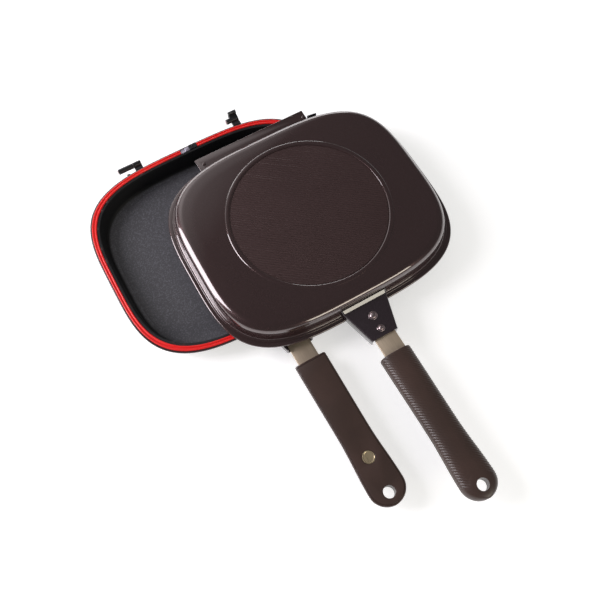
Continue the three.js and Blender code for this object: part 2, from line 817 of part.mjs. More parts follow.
// Materials
const panCoat = { color: 0x3a2d2c, roughness: 0.3, metalness: 0.6 };
const hingeBlack = { color: 0x17171a, roughness: 0.45, metalness: 0.5 };
const sealRed = { color: 0xd8141a, roughness: 0.5, metalness: 0 };
const ventGrey = { color: 0xa9a4a8, roughness: 0.4, metalness: 0.7 };
const bracketCoat = { color: 0x2b2426, roughness: 0.35, metalness: 0.6 };
const brightSteel = { color: 0xb9b2aa, roughness: 0.25, metalness: 1 };
const neckSteel = { color: 0x7d7060, roughness: 0.38, metalness: 0.9 };
const gripBrown = { color: 0x46302d, roughness: 0.5, metalness: 0 };

function addPiece(group, name, geometry, finish, x = 0, y = 0) {
  const mesh = new THREE.Mesh(geometry, new THREE.MeshStandardMaterial(finish));
  mesh.name = name;
  mesh.position.set(x, y, 0);
  group.add(mesh);
}

// What both halves carry: the handle, from its bracket to the magnet
function addHandle(group, half) {
  addPiece(group, `${half}_handle_bracket`, bracket(), bracketCoat);
  const frontRivet = bracketRivet(frontRivetRadius, lugBottom);
  const rearRivet = bracketRivet(rearRivetRadius, tangBottom);
  addPiece(group, `${half}_front_rivet`, frontRivet, brightSteel, 0, frontRivetY);
  addPiece(group, `${half}_rear_rivet`, rearRivet, brightSteel, 0, rearRivetY);
  addPiece(group, `${half}_handle_tang`, tang(), neckSteel);
  addPiece(group, `${half}_grip_shell`, gripShell(), gripBrown);
  addPiece(group, `${half}_grip_face`, gripFace(), gripBrown);
  addPiece(group, `${half}_grip_magnet`, magnet(), neckSteel, 0, magnetY);
  screwPlaces.forEach((y, place) => {
    addPiece(group, `${half}_grip_screw_${place + 1}`, gripScrew(), brightSteel, 0, y);
  });
}

// Lower half, turned over so that its rim plane faces up
function lowerHalf() {
  const turnedHalf = new THREE.Group();
  turnedHalf.rotation.y = Math.PI;
  addPiece(turnedHalf, 'lower_pan_shell', panShell([rimNub()], [sealGroove()]), panCoat);
  addHandle(turnedHalf, 'lower');
  const rimPieces = new THREE.Group();
  addPiece(rimPieces, 'lower_seal', seal(), sealRed);
  addPiece(rimPieces, 'steam_vent_insert', ventInsert(), ventGrey);
  addPiece(rimPieces, 'steam_vent_block', ventBlock(), hingeBlack);
  addPiece(rimPieces, 'left_hinge_hook', hook(leftHookX, false), hingeBlack);
  addPiece(rimPieces, 'right_hinge_hook', hook(rightHookX, true), hingeBlack);
  addPiece(rimPieces, 'left_hinge_pin', hingePin(leftHookX, leftSleeveLength), brightSteel);
  addPiece(rimPieces, 'right_hinge_pin', hingePin(rightHookX, rightSleeveLength), brightSteel);
  addPiece(rimPieces, 'left_hinge_sleeve', hingeSleeve(leftHookX, leftSleeveLength), hingeBlack);
  addPiece(rimPieces, 'right_hinge_sleeve', hingeSleeve(rightHookX, rightSleeveLength), hingeBlack);
  const half = new THREE.Group();
  half.position.set(0, 0, panDepth);
  half.add(turnedHalf, rimPieces);
  return half;
}

// Upper half, face down, set aside from its closed place
function upperHalf() {
  const half = new THREE.Group();
  half.position.set(apartX, apartY, panDepth + restGap);
  addPiece(half, 'upper_pan_shell', panShell([], []), panCoat);
  addHandle(half, 'upper');
  const rivetY = hingeY - saddleFront + coverRivetSetback;
  const leftEnd = leftHookX - hookWidth / 2 - saddleMargin - fitGap;
  const rightEnd = rightHookX - hookWidth / 2 - saddleMargin - fitGap;
  const saddles = [
    { side: 'left', from: leftEnd - leftSaddleLength, to: leftEnd },
    { side: 'right', from: rightEnd - rightSleeveLength + saddleMargin, to: rightEnd },
  ];
  const rivetPlaces = saddles.map(({ from, to }) => [(from + to) / 2, rivetY]);
  addPiece(half, 'hinge_cover', hingeCover(rivetPlaces), panCoat);
  saddles.forEach(({ side, from, to }, place) => {
    addPiece(half, `${side}_hinge_saddle`, saddle(from, to, rivetY), hingeBlack);
    addPiece(half, `${side}_cover_rivet`, coverRivet(), panCoat, ...rivetPlaces[place]);
  });
  addPiece(half, 'hinge_stop_tab', stopTab(), hingeBlack);
  return half;
}

const flipPan = new THREE.Group();
flipPan.add(lowerHalf(), upperHalf());

export default flipPan;
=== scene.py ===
import math
import bpy
from mathutils import Matrix, Vector


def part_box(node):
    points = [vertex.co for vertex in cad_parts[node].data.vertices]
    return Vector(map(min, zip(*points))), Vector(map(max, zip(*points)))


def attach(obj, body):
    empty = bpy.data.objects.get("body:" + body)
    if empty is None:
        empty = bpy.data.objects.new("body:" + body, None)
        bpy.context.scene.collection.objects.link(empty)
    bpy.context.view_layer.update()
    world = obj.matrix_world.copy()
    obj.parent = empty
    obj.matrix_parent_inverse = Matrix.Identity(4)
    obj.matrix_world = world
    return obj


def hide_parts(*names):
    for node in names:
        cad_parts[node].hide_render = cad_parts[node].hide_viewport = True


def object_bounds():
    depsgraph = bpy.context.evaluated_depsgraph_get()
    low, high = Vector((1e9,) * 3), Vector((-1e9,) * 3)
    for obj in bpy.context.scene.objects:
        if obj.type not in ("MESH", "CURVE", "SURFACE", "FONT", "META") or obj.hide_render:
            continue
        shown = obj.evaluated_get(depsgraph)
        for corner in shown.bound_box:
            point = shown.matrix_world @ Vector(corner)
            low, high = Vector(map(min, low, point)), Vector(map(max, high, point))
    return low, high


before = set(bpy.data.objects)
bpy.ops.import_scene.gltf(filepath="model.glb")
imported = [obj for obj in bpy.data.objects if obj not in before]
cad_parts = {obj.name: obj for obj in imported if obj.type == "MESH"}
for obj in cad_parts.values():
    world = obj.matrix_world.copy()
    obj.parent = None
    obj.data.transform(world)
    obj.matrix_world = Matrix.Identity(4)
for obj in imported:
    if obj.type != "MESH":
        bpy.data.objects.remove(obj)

frameBox = [list(corner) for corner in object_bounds()]
mm = 0.001
fullTurn = 2 * math.pi
quarterTurn = math.pi / 2
fitGap = 0.3  # between pieces that are seated on each other
past = 2  # how far most cutters reach past what they cut
print("frame loaded,", len(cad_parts), "nodes")


# Where the two halves lie: each is modelled rim down at the origin, then moved to its place
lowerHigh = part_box("lower_pan_shell")[1]
upperLow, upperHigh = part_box("upper_pan_shell")
halfLength = (upperHigh.x - upperLow.x) / 2 / mm
halfWidth = lowerHigh.y / mm
depth = (upperHigh.z - upperLow.z) / mm
upperPlace = Matrix.Translation(((upperHigh.x + upperLow.x) / 2, upperHigh.y - halfWidth * mm, upperLow.z))
rimPlace = Matrix.Translation((0, 0, lowerHigh.z))
lowerPlace = rimPlace @ Matrix.Rotation(math.pi, 4, "Y")
places = {"lower": lowerPlace, "upper": upperPlace}

# Turns a section drawn in X and Y to stand in Y and Z, so that it is drawn out along X
alongX = Matrix(((0, 0, 1, 0), (1, 0, 0, 0), (0, 1, 0, 0), (0, 0, 0, 1)))


# Shared modelling steps
def deselectAll():
    if bpy.context.object and bpy.context.object.mode != "OBJECT":
        bpy.ops.object.mode_set(mode="OBJECT")
    bpy.ops.object.select_all(action="DESELECT")


def makeActive(piece):
    deselectAll()
    piece.select_set(True)
    bpy.context.view_layer.objects.active = piece


def editAll(piece, mode="FACE"):
    makeActive(piece)
    bpy.ops.object.mode_set(mode="EDIT")
    bpy.ops.mesh.select_mode(type=mode)
    bpy.ops.mesh.select_all(action="SELECT")


def leaveEdit():
    bpy.ops.object.mode_set(mode="OBJECT")


def setPlace(piece, matrix):
    piece.matrix_world = matrix @ piece.matrix_world
    makeActive(piece)
    bpy.ops.object.transform_apply(location=True, rotation=True, scale=True)
    return piece


def applyModifiers(piece):
    makeActive(piece)
    for modifier in list(piece.modifiers):
        bpy.ops.object.modifier_apply(modifier=modifier.name)


def cutWith(piece, tool, operation="DIFFERENCE"):
    modifier = piece.modifiers.new("cut", "BOOLEAN")
    modifier.operation = operation
    modifier.solver = "EXACT"
    modifier.object = tool
    applyModifiers(piece)
    bpy.data.objects.remove(tool, do_unlink=True)
    return piece


def roundEdges(piece, width, segments=3, angle=35):
    modifier = piece.modifiers.new("round", "BEVEL")
    modifier.width = width * mm
    modifier.segments = segments
    modifier.limit_method = "ANGLE"
    modifier.angle_limit = math.radians(angle)
    applyModifiers(piece)
    return piece


def outwardFaces(piece):
    editAll(piece)
    bpy.ops.mesh.normals_make_consistent(inside=False)
    leaveEdit()


def copyPiece(piece):
    twin = piece.copy()
    twin.data = piece.data.copy()
    bpy.context.collection.objects.link(twin)
    return twin


# The last step of each piece: its smoothing, names and finish, and what the frame has to know of it
def finishPiece(piece, name, body, slot, material, *replaced, angle=32):
    makeActive(piece)
    bpy.ops.object.shade_smooth_by_angle(angle=math.radians(angle))
    piece.name = name
    piece.data.name = name
    piece.data.materials.clear()
    piece.data.materials.append(material)
    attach(piece, body)
    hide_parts(*replaced)


# Primitives at their size and place
def cube(low, high):
    middle = [(a + b) / 2 * mm for a, b in zip(low, high)]
    size = [(b - a) * mm for a, b in zip(low, high)]
    deselectAll()
    bpy.ops.mesh.primitive_cube_add(size=1, location=middle, scale=size)
    bpy.ops.object.transform_apply(location=True, rotation=True, scale=True)
    return bpy.context.object


def cylinder(x, y, low, high, radius, vertices=64):
    deselectAll()
    bpy.ops.mesh.primitive_cylinder_add(
        vertices=vertices, radius=radius * mm, depth=(high - low) * mm,
        location=(x * mm, y * mm, (low + high) / 2 * mm))
    bpy.ops.object.transform_apply(location=True, rotation=True, scale=True)
    return bpy.context.object


def plate(points, low, high):
    deselectAll()
    bpy.ops.mesh.primitive_circle_add(vertices=len(points), radius=1, fill_type="NGON")
    piece = bpy.context.object
    for vertex, (x, y) in zip(piece.data.vertices, points):
        vertex.co = (x * mm, y * mm, low * mm)
    editAll(piece)
    bpy.ops.mesh.extrude_region_move(TRANSFORM_OT_translate={"value": (0, 0, (high - low) * mm)})
    bpy.ops.mesh.select_all(action="SELECT")
    bpy.ops.mesh.normals_make_consistent(inside=False)
    leaveEdit()
    return piece


def bar(points, start, end):
    return setPlace(plate(points, start, end), alongX)


def closeRings(closed):
    bpy.ops.mesh.select_all(action="DESELECT")
    bpy.ops.mesh.select_non_manifold(extend=False, use_wire=False, use_multi_face=False,
                                     use_non_contiguous=False, use_verts=False)
    if closed:
        bpy.ops.mesh.bridge_edge_loops()
    else:
        bpy.ops.mesh.fill_holes(sides=0)
    bpy.ops.mesh.select_all(action="SELECT")
    bpy.ops.mesh.normals_make_consistent(inside=False)
    leaveEdit()


# A turned piece from (radius, height) points, one extruded ring for each
def turned(profile, steps=48, closed=False):
    deselectAll()
    firstRadius, firstHeight = profile[0]
    bpy.ops.mesh.primitive_circle_add(
        vertices=steps, radius=firstRadius * mm, location=(0, 0, firstHeight * mm))
    bpy.ops.object.transform_apply(location=True, rotation=True, scale=True)
    piece = bpy.context.object
    editAll(piece, "EDGE")
    for (radius, height), (nextRadius, nextHeight) in zip(profile, profile[1:]):
        grow = nextRadius / radius
        bpy.ops.mesh.extrude_region_move(TRANSFORM_OT_translate={"value": (0, 0, (nextHeight - height) * mm)})
        bpy.ops.transform.resize(value=(grow, grow, 1), center_override=(0, 0, 0))
    closeRings(closed)
    return piece


# A grid whose points are placed by a function of their two shares
def shapedGrid(across, along, place):
    deselectAll()
    bpy.ops.mesh.primitive_grid_add(x_subdivisions=across, y_subdivisions=along, size=1)
    piece = bpy.context.object
    for vertex in piece.data.vertices:
        x, y, z = place(round((vertex.co.x + 0.5) * across), round((vertex.co.y + 0.5) * along))
        vertex.co = (x * mm, y * mm, z * mm)
    return piece


def arcPoints(x, y, radius, start, end, steps):
    turns = [start + (end - start) * step / steps for step in range(steps + 1)]
    return [(x + radius * math.cos(turn), y + radius * math.sin(turn)) for turn in turns]


def ease(share):
    share = min(max(share, 0.0), 1.0)
    return share * share * (3 - 2 * share)


# Shader groups that several finishes share
def newGroup(name, inputs, outputs):
    group = bpy.data.node_groups.new(name, "ShaderNodeTree")
    for label, kind, value in inputs:
        socket = group.interface.new_socket(name=label, in_out="INPUT", socket_type=kind)
        socket.default_value = value
    for label, kind in outputs:
        group.interface.new_socket(name=label, in_out="OUTPUT", socket_type=kind)
    entry = group.nodes.new("NodeGroupInput")
    leave = group.nodes.new("NodeGroupOutput")
    return group, entry, leave


def addNode(tree, kind, settings=None, **links):
    node = tree.nodes.new(kind)
    for key, value in (settings or {}).items():
        setattr(node, key, value)
    for key, value in links.items():
        socket = node.inputs[int(key[1:])] if key[0] == "i" and key[1:].isdigit() else node.inputs[key]
        if isinstance(value, bpy.types.NodeSocket):
            tree.links.new(value, socket)
        else:
            socket.default_value = value
    return node


def noiseNode(tree, vector, scale, detail=3.0, roughness=0.5):
    return addNode(tree, "ShaderNodeTexNoise", Vector=vector, Scale=scale, Detail=detail,
                   Roughness=roughness)


def rampNode(tree, factor, low, high, lowValue=0.0, highValue=1.0):
    return addNode(tree, "ShaderNodeMapRange", i0=factor, i1=low, i2=high, i3=lowValue, i4=highValue)


def mathNode(tree, operation, first, second):
    return addNode(tree, "ShaderNodeMath", {"operation": operation}, i0=first, i1=second)


def mixColours(tree, share, first, second):
    return addNode(tree, "ShaderNodeMix", {"data_type": "RGBA"}, i0=share, i6=first, i7=second)


def leaveGroup(group, leave, colour, rough, height):
    group.links.new(colour, leave.inputs["Color"])
    group.links.new(rough, leave.inputs["Roughness"])
    group.links.new(height, leave.inputs["Height"])
    return group


groupOutputs = [("Color", "NodeSocketColor"), ("Roughness", "NodeSocketFloat"), ("Height", "NodeSocketFloat")]


# Baked coating: tiny metallic flakes in a dark ground, with a faint cloudiness
def makeSpeckleGroup():
    group, entry, leave = newGroup(
        "flakeSpeckle",
        [("Vector", "NodeSocketVector", (0, 0, 0)), ("Base", "NodeSocketColor", (0.05, 0.04, 0.04, 1)),
         ("Flake", "NodeSocketColor", (0.2, 0.16, 0.16, 1)), ("Scale", "NodeSocketFloat", 900.0),
         ("Amount", "NodeSocketFloat", 0.3), ("Roughness", "NodeSocketFloat", 0.35)], groupOutputs)
    cells = addNode(group, "ShaderNodeTexVoronoi", Vector=entry.outputs["Vector"],
                    Scale=entry.outputs["Scale"])
    chance = addNode(group, "ShaderNodeSeparateColor", Color=cells.outputs["Color"])
    picked = rampNode(group, chance.outputs[0], 0.55, 1.0)
    cloudy = noiseNode(group, entry.outputs["Vector"], 14.0)
    share = mathNode(group, "MULTIPLY", picked.outputs[0], entry.outputs["Amount"])
    mix = mixColours(group, share.outputs[0], entry.outputs["Base"], entry.outputs["Flake"])
    uneven = rampNode(group, cloudy.outputs["Fac"], 0.3, 0.7, -0.025, 0.025)
    rough = mathNode(group, "ADD", entry.outputs["Roughness"], uneven.outputs[0])
    return leaveGroup(group, leave, mix.outputs[2], rough.outputs[0], picked.outputs[0])


# Brushed or turned metal: fine streaks along the stretched direction
def makeBrushedGroup():
    group, entry, leave = newGroup(
        "brushedLines",
        [("Vector", "NodeSocketVector", (0, 0, 0)), ("Base", "NodeSocketColor", (0.5, 0.5, 0.5, 1)),
         ("Dark", "NodeSocketColor", (0.3, 0.3, 0.3, 1)),
         ("Roughness", "NodeSocketFloat", 0.3)], groupOutputs)
    streaks = noiseNode(group, entry.outputs["Vector"], 900.0, 4.0, 0.6)
    cloudy = noiseNode(group, entry.outputs["Vector"], 60.0, 2.0)
    both = mathNode(group, "MULTIPLY", streaks.outputs["Fac"], cloudy.outputs["Fac"])
    share = rampNode(group, both.outputs[0], 0.1, 0.42)
    mix = mixColours(group, share.outputs[0], entry.outputs["Dark"], entry.outputs["Base"])
    uneven = rampNode(group, streaks.outputs["Fac"], 0.3, 0.7, -0.06, 0.08)
    rough = mathNode(group, "ADD", entry.outputs["Roughness"], uneven.outputs[0])
    return leaveGroup(group, leave, mix.outputs[2], rough.outputs[0], streaks.outputs["Fac"])


# Moulded plastic, rubber and dull paint: fine grain with patches polished by handling
def makeGrainGroup():
    group, entry, leave = newGroup(
        "mouldedGrain",
        [("Vector", "NodeSocketVector", (0, 0, 0)), ("Base", "NodeSocketColor", (0.1, 0.07, 0.06, 1)),
         ("Worn", "NodeSocketColor", (0.16, 0.12, 0.11, 1)), ("Scale", "NodeSocketFloat", 1600.0),
         ("Roughness", "NodeSocketFloat", 0.5)], groupOutputs)
    grain = noiseNode(group, entry.outputs["Vector"], entry.outputs["Scale"], 5.0, 0.6)
    cloudy = noiseNode(group, entry.outputs["Vector"], 22.0, 4.0)
    share = rampNode(group, cloudy.outputs["Fac"], 0.38, 0.72)
    mix = mixColours(group, share.outputs[0], entry.outputs["Base"], entry.outputs["Worn"])
    uneven = rampNode(group, cloudy.outputs["Fac"], 0.3, 0.7, 0.05, -0.07)
    rough = mathNode(group, "ADD", entry.outputs["Roughness"], uneven.outputs[0])
    return leaveGroup(group, leave, mix.outputs[2], rough.outputs[0], grain.outputs["Fac"])


speckleGroup = makeSpeckleGroup()
brushedGroup = makeBrushedGroup()
grainGroup = makeGrainGroup()


# Settings go to the group and shader to the Principled BSDF; bump is a strength and a height in mm
def newMaterial(name, group, settings, shader, bump, stretch=(1, 1, 1), raised=None):
    material = bpy.data.materials.new(name)
    material.use_nodes = True
    tree = material.node_tree
    principled = tree.nodes["Principled BSDF"]
    for key, value in shader.items():
        principled.inputs[key].default_value = value
    place = addNode(tree, "ShaderNodeTexCoord")
    mapping = addNode(tree, "ShaderNodeMapping", Vector=place.outputs["Object"], Scale=stretch)
    effect = addNode(tree, "ShaderNodeGroup", {"node_tree": group}, Vector=mapping.outputs[0], **settings)
    # The second ground colour is the inside floor's paler ground: partly its speckle, partly painted light
    if raised:  # another ground colour, with flakes, where the piece's own attribute says so
        attribute, colour = raised
        mask = addNode(tree, "ShaderNodeAttribute", {"attribute_name": attribute})
        ground = mixColours(tree, mask.outputs["Fac"], settings["Base"], colour)
        tree.links.new(ground.outputs[2], effect.inputs["Base"])
        flakes = mathNode(tree, "MULTIPLY", mask.outputs["Fac"], settings["Amount"])
        tree.links.new(flakes.outputs[0], effect.inputs["Amount"])
    tree.links.new(effect.outputs["Color"], principled.inputs["Base Color"])
    tree.links.new(effect.outputs["Roughness"], principled.inputs["Roughness"])
    strength, high = bump
    relief = addNode(tree, "ShaderNodeBump", Strength=strength, Distance=high * mm,
                     Height=effect.outputs["Height"])
    tree.links.new(relief.outputs[0], principled.inputs["Normal"])
    return material


panOutside = newMaterial(
    "panOutside", speckleGroup,
    {"Base": (0.052, 0.024, 0.024, 1), "Flake": (0.11, 0.065, 0.07, 1), "Scale": 1900.0, "Amount": 0.2,
     "Roughness": 0.28},
    {"Metallic": 0.6, "Coat Weight": 1.0, "Coat Roughness": 0.04, "Coat IOR": 1.85}, (0.01, 0.02))
panDisc = newMaterial(
    "panDisc", speckleGroup,
    {"Base": (0.098, 0.058, 0.057, 1), "Flake": (0.16, 0.11, 0.11, 1), "Scale": 1900.0, "Amount": 0.2,
     "Roughness": 0.42},
    {"Metallic": 0.8, "Coat Weight": 0.25, "Coat Roughness": 0.25}, (0.01, 0.02))
# Inside coat: the walls' near-black ground is painted shade, and the floor's paler flaked ground is partly its
# speckle and partly painted light
panInside = newMaterial(
    "panInside", speckleGroup,
    {"Base": (0.009, 0.009, 0.01, 1), "Flake": (0.2, 0.2, 0.23, 1), "Scale": 900.0, "Amount": 0.4,
     "Roughness": 0.55},
    {"Metallic": 0.1, "Specular IOR Level": 0.4}, (0.2, 0.1),
    raised=("floorSpeckleAndLightShare", (0.078, 0.075, 0.084, 1)))
sealRed = newMaterial(
    "sealSilicone", grainGroup,
    {"Base": (0.76, 0.01, 0.01, 1), "Worn": (0.84, 0.02, 0.015, 1), "Scale": 900.0, "Roughness": 0.36},
    {"Specular IOR Level": 0.5}, (0.05, 0.04))
bracketCoat = newMaterial(
    "bracketCoat", speckleGroup,
    {"Base": (0.024, 0.013, 0.018, 1), "Flake": (0.06, 0.04, 0.055, 1), "Scale": 1300.0, "Amount": 0.3,
     "Roughness": 0.34},
    {"Metallic": 0.4, "Coat Weight": 1.0, "Coat Roughness": 0.08, "Coat IOR": 1.8}, (0.04, 0.04))
hingeBlack = newMaterial(
    "hingeBlack", grainGroup,
    {"Base": (0.014, 0.014, 0.016, 1), "Worn": (0.035, 0.034, 0.038, 1), "Scale": 1500.0, "Roughness": 0.4},
    {"Metallic": 0.4}, (0.12, 0.05))
ventMetal = newMaterial(
    "ventMetal", brushedGroup,
    {"Base": (0.5, 0.45, 0.55, 1), "Dark": (0.3, 0.29, 0.33, 1), "Roughness": 0.35},
    {"Metallic": 0.7}, (0.08, 0.02), stretch=(0.1, 1, 1))
rivetSteel = newMaterial(
    "rivetSteel", brushedGroup,
    {"Base": (0.6, 0.49, 0.5, 1), "Dark": (0.5, 0.4, 0.41, 1), "Roughness": 0.3},
    {"Metallic": 1.0}, (0.02, 0.02))
neckSteel = newMaterial(
    "neckSteel", brushedGroup,
    {"Base": (0.66, 0.54, 0.41, 1), "Dark": (0.5, 0.4, 0.3, 1), "Roughness": 0.42},
    {"Metallic": 0.6}, (0.1, 0.02), stretch=(1, 0.06, 1))
magnetSteel = newMaterial(
    "magnetSteel", brushedGroup,
    {"Base": (0.68, 0.55, 0.36, 1), "Dark": (0.5, 0.4, 0.26, 1), "Roughness": 0.3},
    {"Metallic": 0.8}, (0.05, 0.02), stretch=(1, 0.08, 1))
gripPlastic = newMaterial(
    "gripPlastic", grainGroup,
    {"Base": (0.046, 0.027, 0.022, 1), "Worn": (0.062, 0.037, 0.031, 1), "Scale": 1400.0, "Roughness": 0.36},
    {"Specular IOR Level": 0.5}, (0.06, 0.04))
print("finishes made")


# Pan shell: the outline is a superellipse, and each profile point is one more extruded ring
pan = {
    "power": 3.55, "steps": 224, "arcSteps": 8,
    "flange": 3.2, "flangeRound": 1.5, "step": 4.7, "stepHeight": 1.0, "beadInset": 0.7, "beadRound": 0.5,
    "wall": 7.6, "root": 1.4, "draft": 2.8, "thickness": 3.0, "floor": 3.2, "mouthRound": 0.8,
    "baseFlat": 18.6, "baseRun": 9.6, "baseRise": 9.0, "crownInset": 31.0, "crown": 0.25, "crownSteps": 6,
    "floorRound": 6.0, "floorBead": 0.35, "floorBeadFrom": 1.1, "floorBeadTo": 0.5,
    # where the floor's painted light and speckle fade into the walls' painted shade
    "floorSpeckleAndLightFade": 2.2, "floorSpeckleAndLightFadeSpan": 1.9,
    "lugHalfWidth": 13.0, "lugStart": 119.5, "lugEnd": 149.5, "lugLow": 3.1, "lugHigh": 10.3,
    "lugRound": 1.2,
}


def outlinePoint(inset, turn):
    power = 2 / pan["power"]
    x, y = [math.copysign(abs(part) ** power, part) for part in (math.cos(turn), math.sin(turn))]
    return x * (halfLength - inset) * mm, y * (halfWidth - inset) * mm


def outlineY(x, inset):
    share = abs(x) / (halfLength - inset)
    return (halfWidth - inset) * (1 - share ** pan["power"]) ** (1 / pan["power"])


def sweepRings(profile, closed=False):
    deselectAll()
    bpy.ops.mesh.primitive_circle_add(vertices=pan["steps"], radius=1, fill_type="NOTHING")
    piece = bpy.context.object
    for vertex in piece.data.vertices:
        x, y = outlinePoint(profile[0][0], math.atan2(vertex.co.y, vertex.co.x))
        vertex.co = (x, y, profile[0][1] * mm)
    editAll(piece, "EDGE")
    for (inset, height), (nextInset, nextHeight) in zip(profile, profile[1:]):
        growX = (halfLength - nextInset) / (halfLength - inset)
        growY = (halfWidth - nextInset) / (halfWidth - inset)
        bpy.ops.mesh.extrude_region_move(TRANSFORM_OT_translate={"value": (0, 0, (nextHeight - height) * mm)})
        bpy.ops.transform.resize(value=(growX, growY, 1), center_override=(0, 0, 0))
    closeRings(closed)
    return piece


# Outer side from the flange's edge up to the flat base, with the base rising a little from its edge
def outerProfile():
    edge = pan["flangeRound"]
    stepTop = pan["flange"] + pan["stepHeight"]
    shoulder = arcPoints(edge, pan["flange"] - edge, edge, math.pi, quarterTurn, 4)
    small = pan["beadRound"]
    bead = arcPoints(pan["step"] + pan["beadInset"], stepTop - small, small, math.pi, quarterTurn, 3)
    root = arcPoints(pan["wall"] - pan["root"], stepTop + pan["root"], pan["root"], -quarterTurn, 0, 4)
    top = depth - base["ringRise"]
    start, low = pan["baseFlat"], top - pan["crown"] - pan["baseRise"]
    arc = [(start + pan["baseRun"] * x, low + pan["baseRise"] * z)
           for x, z in arcPoints(0, 0, 1, math.pi, quarterTurn + 0.03, 2 * pan["arcSteps"])]
    crown, last = [], pan["crownSteps"]
    for step in range(1, last + 1):
        rise = math.sin(step / last * quarterTurn)
        crown.append((start + (pan["crownInset"] - start) * step / last, top - pan["crown"] * (1 - rise)))
    return shoulder + [(pan["step"], pan["flange"])] + bead + root + arc + crown


# Inner side from the floor, with a low step at its edge, down to the mouth and the flange's underside
def innerProfile():
    mouth = pan["wall"] + pan["thickness"]
    start = mouth + pan["draft"] + pan["floorRound"]
    floorZ = depth - pan["floor"]
    edgeZ = floorZ - pan["floorBead"]
    bead = [(start + pan["floorBeadFrom"], floorZ), (start + pan["floorBeadTo"], edgeZ)]
    arc = arcPoints(start, edgeZ - pan["floorRound"], pan["floorRound"], quarterTurn, math.pi,
                    pan["arcSteps"])
    lip = arcPoints(mouth - pan["mouthRound"], pan["mouthRound"], pan["mouthRound"], 0, -quarterTurn, 3)
    edge = pan["flangeRound"] * 0.6
    return bead + arc + lip + arcPoints(edge, edge, edge, -quarterTurn, -math.pi, 3)


# A solid of the whole half, a gap larger, to cut from the pieces that meet it
def panEnvelope():
    outer = [(inset - fitGap, height + fitGap) for inset, height in outerProfile()]
    return sweepRings([(-fitGap, -past)] + outer)


# Base disc: fine straight ripples and a gutter inside a raised ring, whose top the pan stands on
base = {
    "ringInner": 92.0, "ringOuter": 97.6, "ringRise": 0.5, "foot": 1.3, "steps": 192,
    "outerLip": [(-0.6, -0.1), (-0.75, -0.03), (-1.3, 0)],
    "innerLip": [(1.7, 0), (1.15, -0.02), (1.0, -0.07), (0, -0.68)],
    "gutter": 1.0, "gutterDepth": 1.15, "pitch": 2.9, "rippleLow": 1.0, "rippleHigh": 0.4, "turn": -37.0,
}


def raisedRing():
    inner, outer = base["ringInner"], base["ringOuter"]
    section = [(outer, -base["foot"]), (outer, -base["ringRise"])]
    section += [(outer + across, z) for across, z in base["outerLip"]]
    section += [(inner + across, z) for across, z in base["innerLip"]]
    section.append((inner, -base["foot"]))
    return turned([(radius, depth + z) for radius, z in section], steps=base["steps"], closed=True)


def gutterCutter():
    outer = base["ringInner"]
    inner = outer - base["gutter"]
    low, high = -base["gutterDepth"], 0.5
    section = [(outer, high), (outer, low), (inner, low), (inner, high)]
    return turned([(radius, depth + z) for radius, z in section], steps=base["steps"], closed=True)


# One zigzag sheet, drawn up and kept inside the gutter
def rippleCutter():
    reach = base["ringInner"] - base["gutter"] / 2
    columns = 4 * (int(reach / base["pitch"]) + 1)
    length = reach + 3

    def place(column, row):
        level = base["rippleLow"] if column % 2 else base["rippleHigh"]
        return (column - columns / 2) * base["pitch"] / 2, (2 * row - 1) * length, depth - level

    comb = shapedGrid(columns, 1, place)
    editAll(comb)
    bpy.ops.mesh.extrude_region_move(TRANSFORM_OT_translate={"value": (0, 0, 3 * mm)})
    leaveEdit()
    outwardFaces(comb)
    setPlace(comb, Matrix.Rotation(math.radians(base["turn"]) - quarterTurn, 4, "Z"))
    return cutWith(comb, cylinder(0, 0, depth - past, depth + past, reach, 160), "INTERSECT")


def panShell():
    shell = sweepRings(innerProfile() + outerProfile())
    lug = cube((-pan["lugHalfWidth"], -pan["lugEnd"], pan["lugLow"]),
               (pan["lugHalfWidth"], -pan["lugStart"], pan["lugHigh"]))
    cutWith(shell, roundEdges(lug, pan["lugRound"]), "UNION")
    cutWith(shell, raisedRing(), "UNION")
    cutWith(shell, rippleCutter())
    cutWith(shell, gutterCutter())
    return shell


# The rippled disc is duller than the rest: every face that lies wholly inside the ring, below its top
def discFaces(shell):
    shell.data.materials.append(panDisc)
    reach = (base["ringInner"] + 0.01) * mm
    low, high = (depth - past) * mm, (depth - 0.1) * mm
    inDisc = [vertex.co.z > low and vertex.co.xy.length < reach for vertex in shell.data.vertices]
    for face in shell.data.polygons:
        if face.center.z < high and all(inDisc[index] for index in face.vertices):
            face.material_index = 2


# The inside coat, with a mask that is 1 on the floor and 0 on the walls: the floor's paler flaked ground is
# partly its speckled finish and partly painted light, and the walls' near-black ground is painted shade
def insideFaces(shell):
    shell.data.materials.append(panInside)
    reach = pan["wall"] + pan["mouthRound"]
    top = depth - pan["floor"]
    for face in shell.data.polygons:
        x, y, z = [value / mm for value in face.center]
        within = abs(x) < halfLength - reach and abs(y) < outlineY(x, reach)
        inward = x * face.normal.x + y * face.normal.y < 0
        if within and z < top + 1 and (face.normal.z < -0.2 or inward):
            face.material_index = 1
    mask = shell.data.attributes.new("floorSpeckleAndLightShare", "FLOAT", "POINT")
    for vertex, value in zip(shell.data.vertices, mask.data):
        value.value = ease((vertex.co.z / mm - top + pan["floorSpeckleAndLightFade"]) / pan["floorSpeckleAndLightFadeSpan"])


# Seal: a ring with two ridges in a groove of the lower rim, cut open for the vent
seal = {"middle": 4.7, "half": 2.6, "low": -1.2, "rise": 1.2, "valley": 0.65, "valleyDepth": 1.0, "flat": 0.7,
        "gapFrom": -5.4, "gapTo": 17.2}
rimSpan = (100, 140)  # in Y, past both sides of the rim at the hinge
rimNub = [(72.5, 125.2, 0.7), (76.7, 128.2, 2.85)]  # on the lower rim's edge beside the left sleeve


def sealGroove():
    outer, inner = seal["middle"] - seal["half"] - fitGap, seal["middle"] + seal["half"] + fitGap
    deep = fitGap - seal["low"]
    return sweepRings([(inner, -past), (outer, -past), (outer, deep), (inner, deep)], closed=True)


